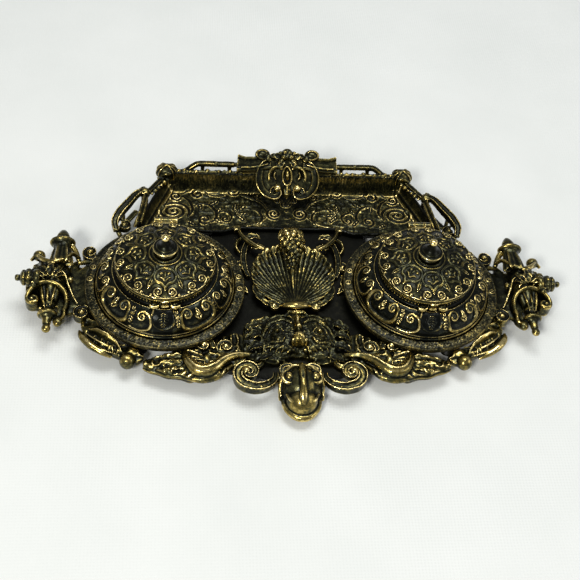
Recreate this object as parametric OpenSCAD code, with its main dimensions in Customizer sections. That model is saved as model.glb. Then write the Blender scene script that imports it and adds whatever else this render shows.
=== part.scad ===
// Double inkstand in cast brass: a footed openwork stand with a pen tray at the back,
// two lidded ink wells, a scallop dish between them and a turned handle at each side.
// Right is +X, back is +Y, up is +Z, and the origin is on the table under the middle.

/* [Ink wells] */
// Distance of each well's centre from the middle
well_x = 80; // [78:1:82]
// Well centre, from the middle towards the back
well_y = -7.5; // [-9:0.5:-6]
// Radius of the pan's rim
pan_r = 49; // [48:0.5:50]
// Height of the pan's rim
pan_top = 18.5; // [18:0.5:19]
// Radius of the domed cover
cover_r = 42.5; // [42:0.5:43]
// Radius of the collar that the lid closes on
collar_r = 29; // [28:0.5:29.5]
// Radius of the ink pot
pot_r = 22.5; // [21:0.5:23]

/* [Lids] */
// Radius of the lid
lid_r = 30.5; // [30:0.5:31]
// Height of the lid's underside
lid_z = 38.2; // [38.1:0.1:38.4]
// Radius of the knob's flange
knob_r = 7.5; // [6:0.5:8]
// Diameter of the hinge pin
pin_d = 1.8; // [1.6:0.1:2]
// Radial clearance between the pin and the lid's knuckle
pin_gap = 0.05; // [0.03:0.01:0.09]

/* [Pen tray] */
// Half width of the tray at the back
tray_back = 80; // [78:1:82]
// Half width of the tray at the front
tray_front = 99; // [97:1:100]
// Back edge of the tray
tray_y1 = 87; // [86:1:88]
// Front edge of the tray
tray_y0 = 46; // [45:1:47]
// Top of the tray's wall
tray_top = 20; // [18:1:21]

/* [Side handles] */
// Distance of each spindle from the middle
spindle_x = 147; // [146:1:148]
// Height of the spindle's centre line
spindle_z = 21.5; // [21:0.5:22]
// Distance of each side knob's tip from the middle
tip_x = 170; // [168:1:171]

/* [Base] */
// Height of the underside of the base frame
base_z = 5; // [4:0.5:5]
// Thickness of the base frame
base_t = 4; // [4:0.5:5]
// Diameter of a foot
foot_d = 13; // [11:1:14]

/* [Hidden] */
$fn = 64;

deck = base_z + base_t;             // everything ornamental stands on this plane
hinge_r = lid_r + 3;                // hinge axis, behind the well's centre
hinge_z = lid_z + 0.4;
knuckle_d = 5;
knuckle_w = 6;                      // width of the lid's middle knuckle
lug_w = 4;                          // width of each outer knuckle
lug_gap = 0.2;
pin_len = knuckle_w + 2 * lug_w + 2 * lug_gap;
shank_d = 4;                        // threaded shank of the knob
lid_crown = lid_z + 9.6;            // flat top that the knob stands on
shell_y = 3;                        // centre of the scallop dish
shell_r = 24;
dish_r = 46;                        // radius of the dish's hollow
foot_spots = [[-96, -43], [96, -43], [-76, 68], [76, 68]];
screw_d = 3;
tip_y = well_y + 1;
handle_front = -47.5;               // ends of the spindle along Y
handle_back = 34.5;
lug_front = -28;                    // where the strap's two eyes hold the spindle
lug_back = 17.5;
eye_t = 5;
neck_r = 3;

// ---------- helpers ----------
// Mirrors a right-hand piece to the left when side is -1
module on_side(side) {
    mirror([side < 0 ? 1 : 0, 0, 0]) children();
}

module at_well(side) {
    translate([side * well_x, well_y, 0]) children();
}

// Flat sector of a ring, from angle a0 to a1
module arc_band(r, w, a0, a1) {
    steps = ceil((a1 - a0) / 6);
    outer = [for (i = [0:steps]) let (a = a0 + (a1 - a0) * i / steps) (r + w / 2) * [cos(a), sin(a)]];
    inner = [for (i = [steps:-1:0]) let (a = a0 + (a1 - a0) * i / steps) (r - w / 2) * [cos(a), sin(a)]];
    polygon(concat(outer, inner));
}

// Flat C-scroll: an open arc with an eye at each end
module c_scroll(r, w, a0, a1, eye) {
    arc_band(r, w, a0, a1);
    for (a = [a0, a1]) {
        rotate(a) translate([r - eye * 0.35, 0]) circle(r = eye);
    }
}

// Points along a smooth curve through a few given ones
function on_curve(a, b, c, d, t) = 0.5 * (2 * b + (c - a) * t + (2 * a - 5 * b + 4 * c - d) * t * t
    + (3 * b - a - 3 * c + d) * t * t * t);
function smooth(pts, n = 5) = let (last = len(pts) - 1) concat([for (i = [0:last - 1], k = [0:n - 1])
    on_curve(pts[max(i - 1, 0)], pts[i], pts[i + 1], pts[min(i + 2, last)], k / n)], [pts[last]]);

// Flat strap along a smooth curve, w0 wide at its start and w1 at its end
module ribbon(pts, w0, w1) {
    path = smooth(pts);
    last = len(path) - 1;
    side = [for (i = [0:last]) let (v = path[min(i + 1, last)] - path[max(i - 1, 0)])
        (w0 + (w1 - w0) * i / last) / 2 * [-v[1], v[0]] / norm(v)];
    polygon(concat([for (i = [0:last]) path[i] + side[i]], [for (i = [last:-1:0]) path[i] - side[i]]));
    translate(path[0]) circle(d = w0, $fn = 32);
    translate(path[last]) circle(d = w1, $fn = 32);
}

// Round bar between two points
module rod(p, q, d) {
    v = q - p;
    len = norm(v);
    translate(p) rotate([0, acos(v[2] / len), atan2(v[1], v[0])]) cylinder(d = d, h = len);
}

// Area taken by the pans, with a little room
module pan_area(gap = 0.3) {
    for (s = [-1, 1]) translate([s * well_x, well_y]) circle(r = pan_r + gap, $fn = 128);
}

// Teardrop leaf, pointing along +Y
module leaf(len, w) {
    n = 12;
    right = [for (i = [0:n]) let (t = i / n) [w / 2 * sin(180 * pow(t, 0.75)), len * t]];
    left = [for (i = [n - 1:-1:1]) let (t = i / n) [-w / 2 * sin(180 * pow(t, 0.75)), len * t]];
    polygon(concat(right, left));
}

// ---------- base ----------
module base_frame() {
    color("#3d3a22") translate([0, 0, base_z]) linear_extrude(base_t) difference() {
        union() {
            for (s = [-1, 1]) on_side(s) {
                translate([well_x, well_y]) circle(r = 40);
                translate([well_x, well_y]) rotate(-66) translate([25, -6]) square([17, 12]);
                polygon([[0, 60], [60, 60], [66, 28], [78, 28], [80, 56], [96, 56], [78, 82], [0, 82]]);
                polygon([[0, -70], [16, -70], [46, -65], [66, -54], [58, -38], [36, -48], [16, -54], [0, -54]]);
                polygon([[112, -14], [150, -12], [150, -3], [112, 0]]);
            }
            // closed floor of the middle, from the mask back to the tray
            polygon([[-50, -44], [-36, -50], [36, -50], [50, -44], [50, 62], [-50, 62]]);
            translate([-7, -72]) square([14, 150]);
        }
        for (s = [-1, 1]) translate([s * well_x, well_y]) circle(r = 30);
        for (p = foot_spots) translate(p) circle(d = screw_d);
    }
}

// ---------- pen tray ----------
function tray_outline(inset) = [
    [-tray_front + inset * 1.1, tray_y0 - 5], [-tray_back + inset * 0.8, tray_y1 - inset],
    [tray_back - inset * 0.8, tray_y1 - inset], [tray_front - inset * 1.1, tray_y0 - 5],
    [48, tray_y0 - 5], [32, tray_y0], [-32, tray_y0], [-48, tray_y0 - 5]];

module pen_tray() {
    color("#3a3822") difference() {
        translate([0, 0, deck]) linear_extrude(tray_top - deck) polygon(tray_outline(0));
        translate([0, 0, deck + 1.8]) linear_extrude(tray_top) polygon(tray_outline(2.6));
        translate([-34, tray_y0 - 2, deck + 1.8]) cube([68, 6, tray_top]);
        translate([0, 0, deck - 1]) linear_extrude(tray_top) pan_area();
        for (p = foot_spots) translate([p[0], p[1], deck - 1]) cylinder(d = screw_d, h = 20);
        // the cartouche hangs over the back wall through this gap
        translate([-17, tray_y1 - 6, deck + 4]) cube([34, 12, 20]);
    }
}

// Two round bars behind the tray on short posts, with a knob at each corner
module tray_rail() {
    rail_y = tray_y1 + 4;
    rail_z = tray_top + 6;
    color("#6b5d2a") for (s = [-1, 1]) on_side(s) {
        translate([36, rail_y, rail_z]) rotate([0, 90, 0]) cylinder(d = 4.4, h = tray_back - 37);
        translate([tray_back - 1, rail_y, rail_z]) sphere(r = 5);
        translate([54, rail_y, rail_z]) sphere(r = 3.3);
        for (x = [42, tray_back - 14]) {
            translate([x, rail_y, deck + 4]) cylinder(d = 3, h = rail_z - deck - 4);
            translate([x - 1, tray_y1, deck + 5]) cube([2, rail_y - tray_y1, 3]);
        }
    }
}

// Pierced strap along the tray's end, finished with a curled leaf
module tray_bracket(side) {
    gap = 0.02;
    z = tray_top + gap;
    color("#77672f") on_side(side) {
        translate([0, 0, z]) linear_extrude(4) {
            ribbon([[tray_back + 3, tray_y1 - 9], [tray_back + 8, 68], [tray_front - 3, 48]], 4.5, 4);
            translate([tray_back + 9, 67]) circle(r = 4);
        }
        difference() {
            union() {
                translate([92.6, 65.5, deck]) cylinder(r = 2.6, h = z + 4 - deck);
                translate([0, 0, deck]) linear_extrude(8.5) {
                    ribbon([[93, 66], [99, 63], [105, 53], [110, 45], [115, 41]], 5, 4);
                    ribbon([[96, 52], [101, 46], [108, 46]], 4.5, 4);
                    translate([109, 39]) c_scroll(5, 4, 40, 220, 2.6);
                }
            }
            linear_extrude(40) polygon(tray_outline(-0.02));
            linear_extrude(40) pan_area();
        }
    }
}

// Cartouche of two C-scrolls with a crest, leaning back over the tray's rear wall
module crest_cartouche() {
    lean = 36;
    thick = 4;
    color("#8a7634") difference() {
        translate([0, 67.6, deck + 5]) rotate([lean, 0, 0]) {
            linear_extrude(thick) difference() {
                union() {
                    for (s = [-1, 1]) on_side(s) {
                        translate([9.5, 17]) c_scroll(8.5, 4.5, -110, 120, 3.4);
                        translate([13, 34]) circle(r = 5.5);
                        translate([12, 31]) square([23, 4.5]);
                    }
                    translate([-5, 3]) square([10, 33]);
                    translate([-9, 26]) square([18, 9]);
                    translate([0, 6]) rotate(180) leaf(12, 9);
                }
                for (s = [-1, 1]) translate([s * 10, 17]) circle(r = 3.4);
            }
            translate([0, 36, thick]) sphere(r = 5.5);
            for (s = [-1, 1]) translate([s * 16.3, 33.5, thick - 1]) sphere(r = 4);
            translate([0, 17, thick - 2.5]) sphere(r = 5);
        }
        translate([-60, 0, -40]) cube([120, 120, 40 + deck + 1.8]);
        translate([-60, 0, -20]) linear_extrude(20 + tray_top) difference() {
            translate([0, 40]) square([120, 60]);
            translate([43, 0]) square([34, tray_y1]);
        }
    }
}

// ---------- middle ----------
module shell_dish() {
    rib = 13;
    color("#4a4426") difference() {
        intersection() {
            translate([0, shell_y, deck + dish_r]) sphere(r = dish_r, $fn = 128);
            translate([0, shell_y, deck]) linear_extrude(12) union() {
                circle(r = shell_r, $fn = 96);
                for (i = [0:rib - 1]) rotate(-10 + 200 * i / (rib - 1)) translate([shell_r - 1, 0]) circle(r = 3);
                translate([-9, -shell_r - 1]) square([18, 8]);
            }
        }
        translate([0, shell_y, deck + dish_r + 2.2]) sphere(r = dish_r, $fn = 128);
        translate([-40, shell_y - 40, deck + 8]) cube([80, 80, 20]);
    }
    // seat that carries the dish on the base
    color("#4a4426") translate([0, shell_y, deck]) difference() {
        cylinder(r = 7, h = 1.4);
        translate([0, 0, dish_r]) sphere(r = dish_r, $fn = 128);
    }
}

// Cluster of berries whose tip leans over the shell
module berry_finial() {
    color("#9b8440") difference() {
        union() {
            translate([0, 37.5, deck + 12]) rotate([90 + 6, 0, 0]) rotate_extrude() polygon([[0, -3],
                [3.6, -2], [6.6, 1], [7.2, 4], [6.4, 8], [4.6, 12.5], [2.6, 17], [1.1, 20.5], [0, 21]]);
            translate([-4.5, shell_y + shell_r + 3.1, deck]) cube([9, 11, 9]);
            for (x = [-5.2, 0, 5.2]) translate([x, 32, deck + 17 - abs(x) * 0.5]) sphere(r = 2.6);
        }
        translate([-20, 0, deck + 8.05 - 30]) cube([40, shell_y + shell_r + 3.1, 30]);
    }
}

module leaf_strut(side) {
    color("#5c5228") on_side(side) difference() {
        translate([0, 0, deck]) {
            linear_extrude(7) {
                ribbon([[31, 45.5], [33, 38], [29, 31], [22, 28], [15, 27]], 5, 4);
                translate([23, 28]) rotate(-150) leaf(9, 7);
                translate([29, 33]) rotate(70) leaf(9, 7);
            }
            linear_extrude(4.5) ribbon([[29, 31], [32, 22], [31, 12], [30, 6]], 4.5, 3.5);
            translate([14.5, 26.5, 6]) sphere(r = 2.6);
        }
        linear_extrude(60) pan_area();
        linear_extrude(60) polygon(tray_outline(0));
        linear_extrude(60) translate([0, shell_y]) circle(r = shell_r + 3.05);
        translate([-10, 0, 0]) cube([19.5, 60, 60]);
    }
}

module mask_boss() {
    color("#57502a") difference() {
        union() {
            translate([0, 0, deck]) linear_extrude(7) polygon([[-8, -27], [8, -27], [22, -40], [22.9, -50],
                [22.9, -57], [12, -62], [-12, -62], [-22.9, -57], [-22.9, -50], [-22, -40]]);
            translate([0, -38, deck + 1]) sphere(r = 14);
            for (s = [-1, 1]) {
                translate([s * 13.8, -43, deck + 8]) sphere(r = 4.4);
                translate([s * 11.5, -52, deck + 4.5]) sphere(r = 8);
            }
            rod([0, -38, deck + 13.5], [0, -55, deck + 14.5], 6);
            translate([0, -54.5, deck + 12.5]) sphere(r = 5);
            translate([0, -28, deck + 8]) sphere(r = 5);
        }
        translate([-50, -90, deck - 30]) cube([100, 90, 30]);
        linear_extrude(60) translate([0, shell_y]) circle(r = shell_r + 3.05);
        linear_extrude(60) polygon([[-10.5, shell_y - 28], [10.5, shell_y - 28], [10.5, 0], [-10.5, 0]]);
        translate([-30, -100, deck - 1]) cube([60, 38, 40]);
    }
}

module creature_head() {
    color("#7a6930") difference() {
        union() {
            translate([0, -77, deck - 1]) sphere(r = 13.6);
            translate([0, -89.5, deck + 0.5]) sphere(r = 10.5);
            translate([-13.6, -74, deck]) cube([27.2, 12, 7]);
            for (s = [-1, 1]) translate([s * 7.6, -78.5, deck + 10]) sphere(r = 3.6);
            rod([0, -72, deck + 12], [0, -94, deck + 7], 3);
        }
        translate([-30, -120, deck - 30]) cube([60, 120, 25]);
        linear_extrude(deck) translate([-30, -72]) square([60, 60]);
        translate([-30, -62.02, deck - 30]) cube([60, 60, 60]);
    }
}

module front_scroll(side) {
    color("#84722f") on_side(side) difference() {
        translate([26, -69.5, deck - 2]) {
            linear_extrude(7) c_scroll(9, 5.5, 160, 400, 4);
            linear_extrude(6) circle(r = 7);
            translate([0, 1, 5]) sphere(r = 5.5);
        }
        linear_extrude(60) polygon([[0, -110], [14.05, -110], [14.05, -62], [10, -62], [10, -50], [0, -50]]);
        linear_extrude(deck + 0.02) front_seat();
        linear_extrude(60) polygon([[0, -62], [60, -62], [60, -40], [0, -40]]);
        linear_extrude(60) polygon([[40.3, -110], [80, -110], [80, -40], [40.3, -40]]);
        linear_extrude(60) difference() {
            translate([20, -62.5]) square([40, 8]);
            translate([20, -62.5]) square([3, 8]);
        }
    }
}

// Area of the base that carries the front ornament
module front_seat() {
    polygon([[0, -70], [16, -70], [46, -65], [66, -54], [58, -38], [36, -48], [16, -54], [0, -54]]);
}

// Acanthus dolphin: an S of two turns with a fringed fin below it
module dolphin(side) {
    color("#665a2c") on_side(side) difference() {
        union() {
            translate([0, 0, deck]) linear_extrude(6.5) {
                ribbon([[28, -55.5], [38, -58], [47, -61], [54, -68], [61, -68], [66, -61], [67, -53]], 6, 8);
                ribbon([[54, -70], [64, -73], [74, -70], [84, -64], [92, -61]], 8, 6);
                ribbon([[36, -57], [40, -50], [38, -42]], 4.5, 4);
                translate([57, -52]) circle(r = 6.5);
                translate([44, -52]) circle(r = 4.5);
            }
            translate([0, 0, deck - 4]) linear_extrude(9) {
                for (i = [0:4]) translate([52 + 8.5 * i, -68 + 1.2 * i]) rotate(-150 - 12 * i) leaf(12.5, 9);
                translate([86, -64]) rotate(-100) leaf(10, 8);
            }
            translate([57, -52, deck + 5]) sphere(r = 5);
            translate([84, -63, deck + 4]) sphere(r = 4.5);
        }
        linear_extrude(deck + 0.02) front_seat();
        linear_extrude(deck + 0.02) translate([well_x, well_y]) circle(r = 40.05);
        linear_extrude(60) pan_area();
        linear_extrude(60) polygon([[0, -60], [23, -34], [23, -56], [40.3, -68], [40.3, -90], [0, -90]]);
    }
}

// Turned-over leaf with a ball at its foot
module leaf_scroll(side) {
    color("#a8893a") on_side(side) difference() {
        union() {
            translate([101.3, -59.5, 9.5]) sphere(r = 5);
            translate([0, 0, deck - 2]) linear_extrude(7) {
                ribbon([[101, -56], [108, -52.5], [118, -50], [125.5, -44.5], [128, -40.5]], 7, 7);
                translate([124, -49]) rotate(-110) leaf(9, 8);
            }
            translate([119, -49, deck + 4]) rotate([0, 90, 34]) cylinder(d = 8, h = 18, center = true);
            translate([111.5, -54, deck + 4]) sphere(r = 4.6);
            translate([126.5, -44, deck + 4]) sphere(r = 4.6);
        }
        translate([0, 0, -5]) linear_extrude(60) pan_area();
        translate([0, 0, -5]) linear_extrude(60) translate([86, -64]) circle(r = 10.2);
    }
}

// ---------- wells ----------
module well_pan(side) {
    color("#423d24") at_well(side) rotate_extrude($fn = 128) polygon([[0, base_z], [29.8, base_z],
        [29.8, deck], [43, deck], [pan_r - 0.6, pan_top - 4.5], [pan_r, pan_top - 3], [pan_r, pan_top - 0.8],
        [pan_r - 0.8, pan_top], [cover_r + 0.6, pan_top], [cover_r + 0.3, pan_top - 0.4],
        [cover_r + 0.3, pan_top - 2.5], [cover_r - 3, pan_top - 2.5], [27.8, deck + 2.4], [27.8, base_z + 2.4],
        [0, base_z + 2.4]]);
}

module side_strap(side) {
    outer_x = tip_x - 15;
    color("#7b6b31") on_side(side) difference() {
        union() {
            // flat strap that runs out from the pan and curls at both sides of the spindle
            translate([0, 0, deck]) linear_extrude(4.5) {
                polygon([[124, -14], [134, -17], [outer_x, -15], [outer_x, 3], [134, 4], [124, 0]]);
                translate([148, 6]) c_scroll(11, 5, -30, 200, 2.6);
                translate([149, -18]) c_scroll(9.5, 5, 130, 400, 2.6);
                polygon([[122, -2], [134, 0], [135, 13], [124, 14]]);
                polygon([[122, -12], [134, -14], [137, -24], [126, -25]]);
                translate([127, 16]) c_scroll(5.5, 4, 10, 250, 2.6);
                translate([130, -27]) c_scroll(5, 4, 110, 340, 2.6);
            }
            // eyes that hold the spindle
            for (y = [lug_front, lug_back]) {
                translate([spindle_x, y + eye_t / 2, spindle_z]) rotate([90, 0, 0]) cylinder(r = 5.5, h = eye_t);
                translate([spindle_x - 4.5, y - eye_t / 2, deck]) cube([9, eye_t, spindle_z - deck]);
            }
            // cheek that carries the husk knob
            translate([outer_x - 2, tip_y - 5, deck]) cube([2, 10, spindle_z - deck + 4]);
        }
        translate([spindle_x, 60, spindle_z]) rotate([90, 0, 0]) cylinder(r = neck_r, h = 120);
        translate([0, 0, -5]) linear_extrude(60) pan_area();
    }
}

// Turned baluster that lies front to back
module spindle(side) {
    mid = (lug_front + lug_back) / 2;
    half = (lug_back - lug_front - eye_t) / 2;
    color("#6d602c") translate([side * spindle_x, 0, spindle_z]) rotate([-90, 0, 0]) {
        translate([0, 0, mid]) rotate_extrude() polygon([[0, -half], [5, -half], [5.4, -half + 3],
            [3.4, -half + 5], [3.2, -10], [5.6, -4], [6.2, 0], [5.6, 4], [3.2, 10], [3.4, half - 5],
            [5.4, half - 3], [5, half], [0, half]]);
        translate([0, 0, lug_front - eye_t / 2]) cylinder(r = neck_r, h = lug_back - lug_front + eye_t);
        translate([0, 0, lug_back + eye_t / 2]) rotate_extrude() polygon([[0, 0], [5, 0], [5.6, 1.4],
            [5.6, 3.4], [3, 5.4], [2.2, 7.5], [3.6, 9], [3.6, 10], [2, 11.4], [0, 11.4]]);
        translate([0, 0, handle_back - 3.4]) sphere(r = 3.4);
        mirror([0, 0, 1]) translate([0, 0, -lug_front + eye_t / 2]) rotate_extrude() polygon([[0, 0],
            [5, 0], [5.6, 1.4], [5.6, 3.4], [3, 5.4], [2.2, 7], [2.2, 10], [0, 10]]);
        translate([0, 0, handle_front + 4.2]) sphere(r = 4.2);
    }
}

module husk_knob(side) {
    base_x = tip_x - 15;
    color("#8f7a36") on_side(side) translate([base_x, tip_y, spindle_z]) rotate([0, 90, 0])
        rotate_extrude() polygon([[0, 0], [4, 0], [4.8, 1.5], [4, 3.2], [2.6, 4.4], [4.2, 6], [5.6, 8.2],
            [5.4, 10.6], [3.4, 13], [1.6, 14.2], [0.8, 15], [0, 15]]);
}

function cover_dome(r0, z0, r1, z1, n = 8) = [for (i = [0:n]) let (a = 90 * i / n)
    [r0 + (r1 - r0) * (1 - cos(a)), z0 + (z1 - z0) * sin(a)]];

module well_cover(side) {
    seat = pan_top - 2.5;
    lug_top = hinge_z;
    color("#4d4627") at_well(side) difference() {
        union() {
            rotate_extrude($fn = 128) polygon(concat(
                [[cover_r - 2, seat], [cover_r, seat]],
                cover_dome(cover_r, pan_top + 1, collar_r + 1.5, 33),
                [[collar_r, 34], [collar_r, lid_z - 0.2], [pot_r + 2, lid_z - 0.2], [pot_r + 2, 31.5]],
                [for (i = [7:-1:0]) cover_dome(cover_r - 2, pan_top, pot_r + 3.5, 31)[i]]));
            for (s = [-1, 1]) translate([s * (knuckle_w / 2 + lug_gap + lug_w / 2), hinge_r, 0]) {
                translate([-lug_w / 2, 0, hinge_z]) rotate([0, 90, 0]) cylinder(d = knuckle_d, h = lug_w);
                translate([-lug_w / 2, -knuckle_d / 2, 28.5]) cube([lug_w, knuckle_d, lug_top - 28.5]);
            }
        }
        translate([-20, hinge_r, hinge_z]) rotate([0, 90, 0]) cylinder(d = pin_d, h = 40);
    }
}

// Two small cupped lugs with a shield below, at the front of each cover
module clasp_lugs(side) {
    color("#b0923f") at_well(side) difference() {
        union() {
            for (s = [-1, 1]) translate([s * 6.2, -collar_r - 2, 34.2]) sphere(r = 2.8);
            translate([-7, -collar_r - 2.2, 31.8]) cube([14, 2.2, 1.6]);
        }
        cylinder(r = collar_r + 0.02, h = 60, $fn = 128);
        translate([-3.2, -collar_r - 8, 33.4]) cube([6.4, 8, 10]);
        translate([-20, -60, lid_z - 0.5]) cube([40, 60, 20]);
        rotate_extrude($fn = 128) polygon(concat(cover_dome(cover_r, pan_top + 1, collar_r + 1.5, 33),
            [[collar_r, 34], [0, 34], [0, pan_top + 1]]));
    }
}

module ink_pot(side) {
    color("#c9d2cf", 0.6) at_well(side) rotate_extrude($fn = 96) polygon([[0, base_z + 2.4],
        [pot_r - 2, base_z + 2.4], [pot_r, base_z + 4.4], [pot_r, 30], [pot_r - 1.5, 31.5], [pot_r - 1.5, 34.5],
        [pot_r - 2.2, 35], [pot_r - 4, 35], [pot_r - 4, 32], [pot_r - 3, 29], [pot_r - 3, 13],
        [pot_r - 6, base_z + 6], [0, base_z + 5.4]]);
}

module hinge_pin(side) {
    color("#9a8540") at_well(side) translate([-pin_len / 2, hinge_r, hinge_z]) rotate([0, 90, 0])
        cylinder(d = pin_d, h = pin_len);
}

// ---------- lids ----------
module lid(side) {
    crown = lid_crown;
    color("#6a5d2e") at_well(side) difference() {
        union() {
            rotate_extrude($fn = 128) polygon([[lid_r, lid_z], [lid_r, lid_z + 2.2], [lid_r - 1, lid_z + 3.2],
                [lid_r - 2.6, lid_z + 3.4], [24, lid_z + 5.4], [18, lid_z + 7.2], [12.5, lid_z + 8.2],
                [10.6, lid_z + 8.6], [10.2, crown], [0, crown], [0, crown - 2.6], [9, crown - 2.6],
                [17, lid_z + 5.2], [20.5, lid_z + 3.4], [pot_r - 1.2, lid_z], [pot_r - 1.2, lid_z - 1.9],
                [pot_r + 0.4, lid_z - 1.9], [pot_r + 1, lid_z]]);
            translate([-knuckle_w / 2, hinge_r, hinge_z]) rotate([0, 90, 0]) cylinder(d = knuckle_d, h = knuckle_w);
            translate([-knuckle_w / 2, lid_r - 4, lid_z]) cube([knuckle_w, 7, 2]);
        }
        translate([-10, hinge_r, hinge_z]) rotate([0, 90, 0]) cylinder(d = pin_d + 2 * pin_gap, h = 20);
        translate([0, 0, crown - 10]) cylinder(d = shank_d, h = 20);
    }
}

// Small waisted tab that lifts the lid
module thumb_tab(side) {
    z0 = lid_z - 3.6;
    color("#c3a24a") at_well(side) translate([0, -lid_r, z0]) rotate([90, 0, 0]) linear_extrude(1.8) {
        polygon([[-2.8, 0], [2.8, 0], [1.4, 2.4], [2.8, 5.4], [-2.8, 5.4], [-1.4, 2.4]]);
    }
}

module knob(side) {
    z = lid_crown;
    color("#b3954a") at_well(side) {
        translate([0, 0, z]) rotate_extrude() polygon([[0, 0], [6.4, 0], [6.6, 0.8], [5.2, 1.8], [5.4, 2.8],
            [knob_r, 3.2], [knob_r, 4.6], [5.6, 5.2], [3.2, 7.4], [1.7, 10.6], [0, 10.6]]);
        translate([0, 0, z + 12.1]) sphere(r = 2.3);
        translate([0, 0, z - 5.4]) cylinder(d = shank_d, h = 5.6);
    }
}

module knob_nut(side) {
    color("#8d7d45") at_well(side) translate([0, 0, lid_crown - 4.6]) difference() {
        cylinder(d = 8, h = 2, $fn = 6);
        translate([0, 0, -1]) cylinder(d = shank_d, h = 5, $fn = 64);
    }
}

// ---------- feet ----------
module feet() {
    color("#3f3b23") for (p = foot_spots) translate(p) difference() {
        rotate_extrude() polygon([[0, 0], [foot_d / 2 - 2, 0], [foot_d / 2, 1.6], [foot_d / 2, 2.8],
            [foot_d / 2 - 2, base_z], [0, base_z]]);
        translate([0, 0, -1]) cylinder(d = screw_d, h = 10);
        translate([0, 0, -0.01]) cylinder(d = 6, h = 2.2);
    }
}

module foot_screws() {
    color("#a39a76") for (p = foot_spots) translate(p) {
        translate([0, 0, 0.6]) cylinder(d = 5.6, h = 1.59);
        translate([0, 0, 2]) cylinder(d = screw_d, h = deck - 2);
    }
}

base_frame();
pen_tray();
tray_rail();
tray_bracket(-1);  // tray_bracket_left
tray_bracket(1);  // tray_bracket_right
crest_cartouche();
shell_dish();
berry_finial();
leaf_strut(-1);  // leaf_strut_left
leaf_strut(1);  // leaf_strut_right
mask_boss();
creature_head();
front_scroll(-1);  // front_scroll_left
front_scroll(1);  // front_scroll_right
dolphin(-1);  // dolphin_left
dolphin(1);  // dolphin_right
leaf_scroll(-1);  // leaf_scroll_left
leaf_scroll(1);  // leaf_scroll_right
well_pan(-1);  // well_pan_left
well_pan(1);  // well_pan_right
side_strap(-1);  // side_strap_left
side_strap(1);  // side_strap_right
spindle(-1);  // spindle_left
spindle(1);  // spindle_right
husk_knob(-1);  // husk_knob_left
husk_knob(1);  // husk_knob_right
well_cover(-1);  // well_cover_left
well_cover(1);  // well_cover_right
clasp_lugs(-1);  // clasp_lugs_left
clasp_lugs(1);  // clasp_lugs_right
ink_pot(-1);  // ink_pot_left
ink_pot(1);  // ink_pot_right
hinge_pin(-1);  // hinge_pin_left
hinge_pin(1);  // hinge_pin_right
lid(-1);  // lid_left
lid(1);  // lid_right
thumb_tab(-1);  // thumb_tab_left
thumb_tab(1);  // thumb_tab_right
knob(-1);  // knob_left
knob(1);  // knob_right
knob_nut(-1);  // knob_nut_left
knob_nut(1);  // knob_nut_right
feet();
foot_screws();
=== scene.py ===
# Double inkstand in cast brass with a dark patina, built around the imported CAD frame.
# Shapes are worked out in millimetres in the part's own frame and stored in metres.
import math

import bpy
import numpy as np
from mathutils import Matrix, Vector


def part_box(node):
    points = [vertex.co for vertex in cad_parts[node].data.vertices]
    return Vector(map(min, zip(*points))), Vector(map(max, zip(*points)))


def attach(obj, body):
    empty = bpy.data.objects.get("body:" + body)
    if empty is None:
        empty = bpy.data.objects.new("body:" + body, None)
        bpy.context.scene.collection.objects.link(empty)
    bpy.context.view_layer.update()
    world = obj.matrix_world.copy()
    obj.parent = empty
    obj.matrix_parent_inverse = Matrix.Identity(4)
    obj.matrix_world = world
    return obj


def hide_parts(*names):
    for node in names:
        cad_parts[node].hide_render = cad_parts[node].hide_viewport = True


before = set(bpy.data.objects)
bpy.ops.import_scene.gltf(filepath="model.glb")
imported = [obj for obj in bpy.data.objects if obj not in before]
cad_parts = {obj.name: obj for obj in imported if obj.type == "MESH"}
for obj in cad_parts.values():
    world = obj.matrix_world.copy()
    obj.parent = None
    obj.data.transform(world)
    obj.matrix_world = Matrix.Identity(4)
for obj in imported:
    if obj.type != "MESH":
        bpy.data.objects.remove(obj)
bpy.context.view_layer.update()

MM = 0.001
STAND = "stand"
SIDE_NAME = {-1: "left", 1: "right"}
RIDGE_SPREAD = 1.3                   # foot of a relief ridge over its stated half width
NEAR_ROUNDS, NEAR_RISE = 5, 0.05     # smoothing rounds and the rise in mm that count as a sharp edge
FAR_ROUNDS, FAR_RISE = 26, 0.30      # the same for a broad swelling
LOW_SHARE, HIGH_SHARE = 35, 92       # percent of points below the height where the lighter colour for faces that look up starts and is full
WEAR_AND_LIGHT_RANGE = (-1.5, 2.5)             # limits of the stored value of rubbed brass and painted light and shade


# ---------- frame positions ----------
def box_mm(node):
    """Lowest and highest corner of a CAD node, in millimetres."""
    lo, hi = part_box(node)
    return np.array(lo) / MM, np.array(hi) / MM


def centre_mm(node):
    lo, hi = box_mm(node)
    return (lo + hi) / 2


WELL_X, WELL_Y = centre_mm("well_pan_right")[:2]
PAN_R = (box_mm("well_pan_right")[1] - box_mm("well_pan_right")[0])[0] / 2
PAN_TOP = box_mm("well_pan_right")[1][2]
DECK = box_mm("base_frame")[1][2]
BASE_Z = box_mm("base_frame")[0][2]
COVER_R = (box_mm("well_cover_right")[1] - box_mm("well_cover_right")[0])[0] / 2
LID_R = (box_mm("lid_right")[1] - box_mm("lid_right")[0])[0] / 2
LID_TOP = box_mm("lid_right")[1][2]
LID_Z = LID_TOP - 9.6


# ---------- curves ----------
def unit(v):
    return v / max(float(np.linalg.norm(v)), 1e-9)


def even(path, step):
    """The same polyline with points at even distances."""
    path = np.asarray(path, float)
    gaps = np.linalg.norm(np.diff(path, axis=0), axis=1)
    s = np.r_[0, np.cumsum(gaps)]
    n = max(int(math.ceil(s[-1] / step)), 2)
    t = np.linspace(0, s[-1], n + 1)
    return np.stack([np.interp(t, s, path[:, k]) for k in range(path.shape[1])], axis=1)


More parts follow.
